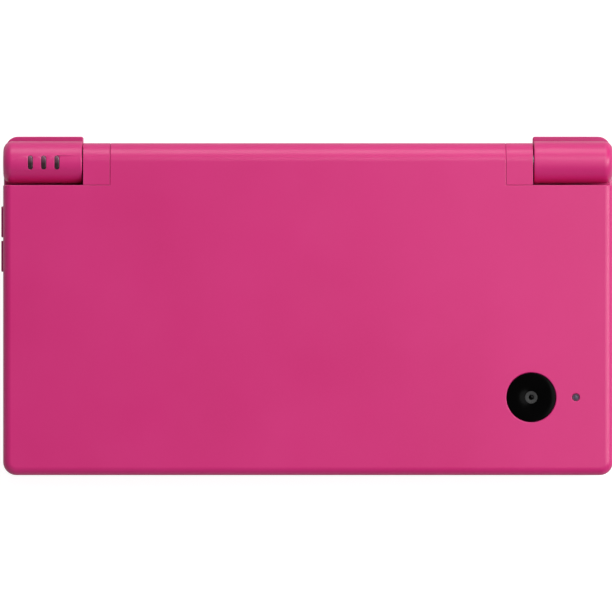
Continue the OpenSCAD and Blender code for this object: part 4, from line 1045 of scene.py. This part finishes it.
# %% Rims on their seats and cloth behind
def speaker_cloth():
    material, tree, shader = blank_material("speaker_cloth")
    place = object_place(tree)
    threads = [add(tree, "ShaderNodeTexWave", {"Vector": place, "Scale": 900.0, "Distortion": 0.4},
                   bands_direction=axis).outputs["Fac"] for axis in ("X", "Y")]
    weave = add(tree, "ShaderNodeMath", {0: threads[0], 1: threads[1]}, operation="MULTIPLY").outputs[0]
    surface(tree, shader, mixed(tree, weave, grey(0.006), grey(0.03)), spread_between(tree, weave, 0.7, 0.9),
            weave, 0.05 * MM, 0.8)
    return material


solids["speakers"].data.materials[0] = speaker_cloth()
hole_radius, hole_pitch = 0.65 * MM, 2.8 * MM
rim = turned("sound_rim_drawing", softened([
    (hole_radius - 0.1 * MM, 0.3 * MM, 0.03 * MM), (hole_radius - 0.02 * MM, 0.3 * MM, 0),
    (hole_radius - 0.02 * MM, 0.06 * MM, 0), (hole_radius - 0.1 * MM, 0.12 * MM, 0.03 * MM),
], closed=True), Vector((0, 0, 0)), closed=True, segments=32)
panel_face = low("upper_window").z - 0.05 * MM
seats = []
for corner_low, corner_high in loose_boxes("speakers"):
    centre = (corner_low + corner_high) / 2
    seats += [Vector((centre.x + column * hole_pitch, centre.y + row * hole_pitch, panel_face))
              for column in (-0.5, 0.5) for row in (-1, 0, 1)]
rims = set_on_seats("sound_hole_rims", seats, rim, looks["black_plastic"], seed=4)
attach(rims, body_of["speakers"])
print("sound holes", len(seats))

# %% [markdown]
# ## Stylus
# The stylus is a slim black stick in a tube that runs across the base. Only its end shows, on the
# right side, until it is drawn out. It is turned lengthwise: a rounded tip, a cone, the plain
# barrel with a finger groove, and a softly rounded end.

# %% Stylus turned along X
stick_axis = Vector((0, middle("stylus").y, middle("stylus").z))
stick_radius = (high("stylus").z - low("stylus").z) / 2
tip, end = low("stylus").x, high("stylus").x
groove_radius = stick_radius - 0.25 * MM
stick = turned("stylus_stick", softened([
    (0, tip, 0), (0.9 * MM, tip, 0.8 * MM), (1.05 * MM, tip + 5.8 * MM, 0.2 * MM),
    (stick_radius - 0.1 * MM, tip + 7.4 * MM, 0.6 * MM), (stick_radius, tip + 12 * MM, 0.5 * MM),
    (stick_radius, end - 7 * MM, 0.2 * MM), (groove_radius, end - 6.6 * MM, 0.2 * MM),
    (groove_radius, end - 4 * MM, 0.2 * MM), (stick_radius, end - 3.6 * MM, 0.2 * MM),
    (stick_radius, end - 0.5 * MM, 0.1 * MM), (stick_radius - 0.5 * MM, end, 0.3 * MM), (0, end, 0),
]), stick_axis, looks["black_plastic"], along="X", segments=48)
fit(stick, "stylus")
print(f"stylus {(end - tip) / MM:.1f} mm long")
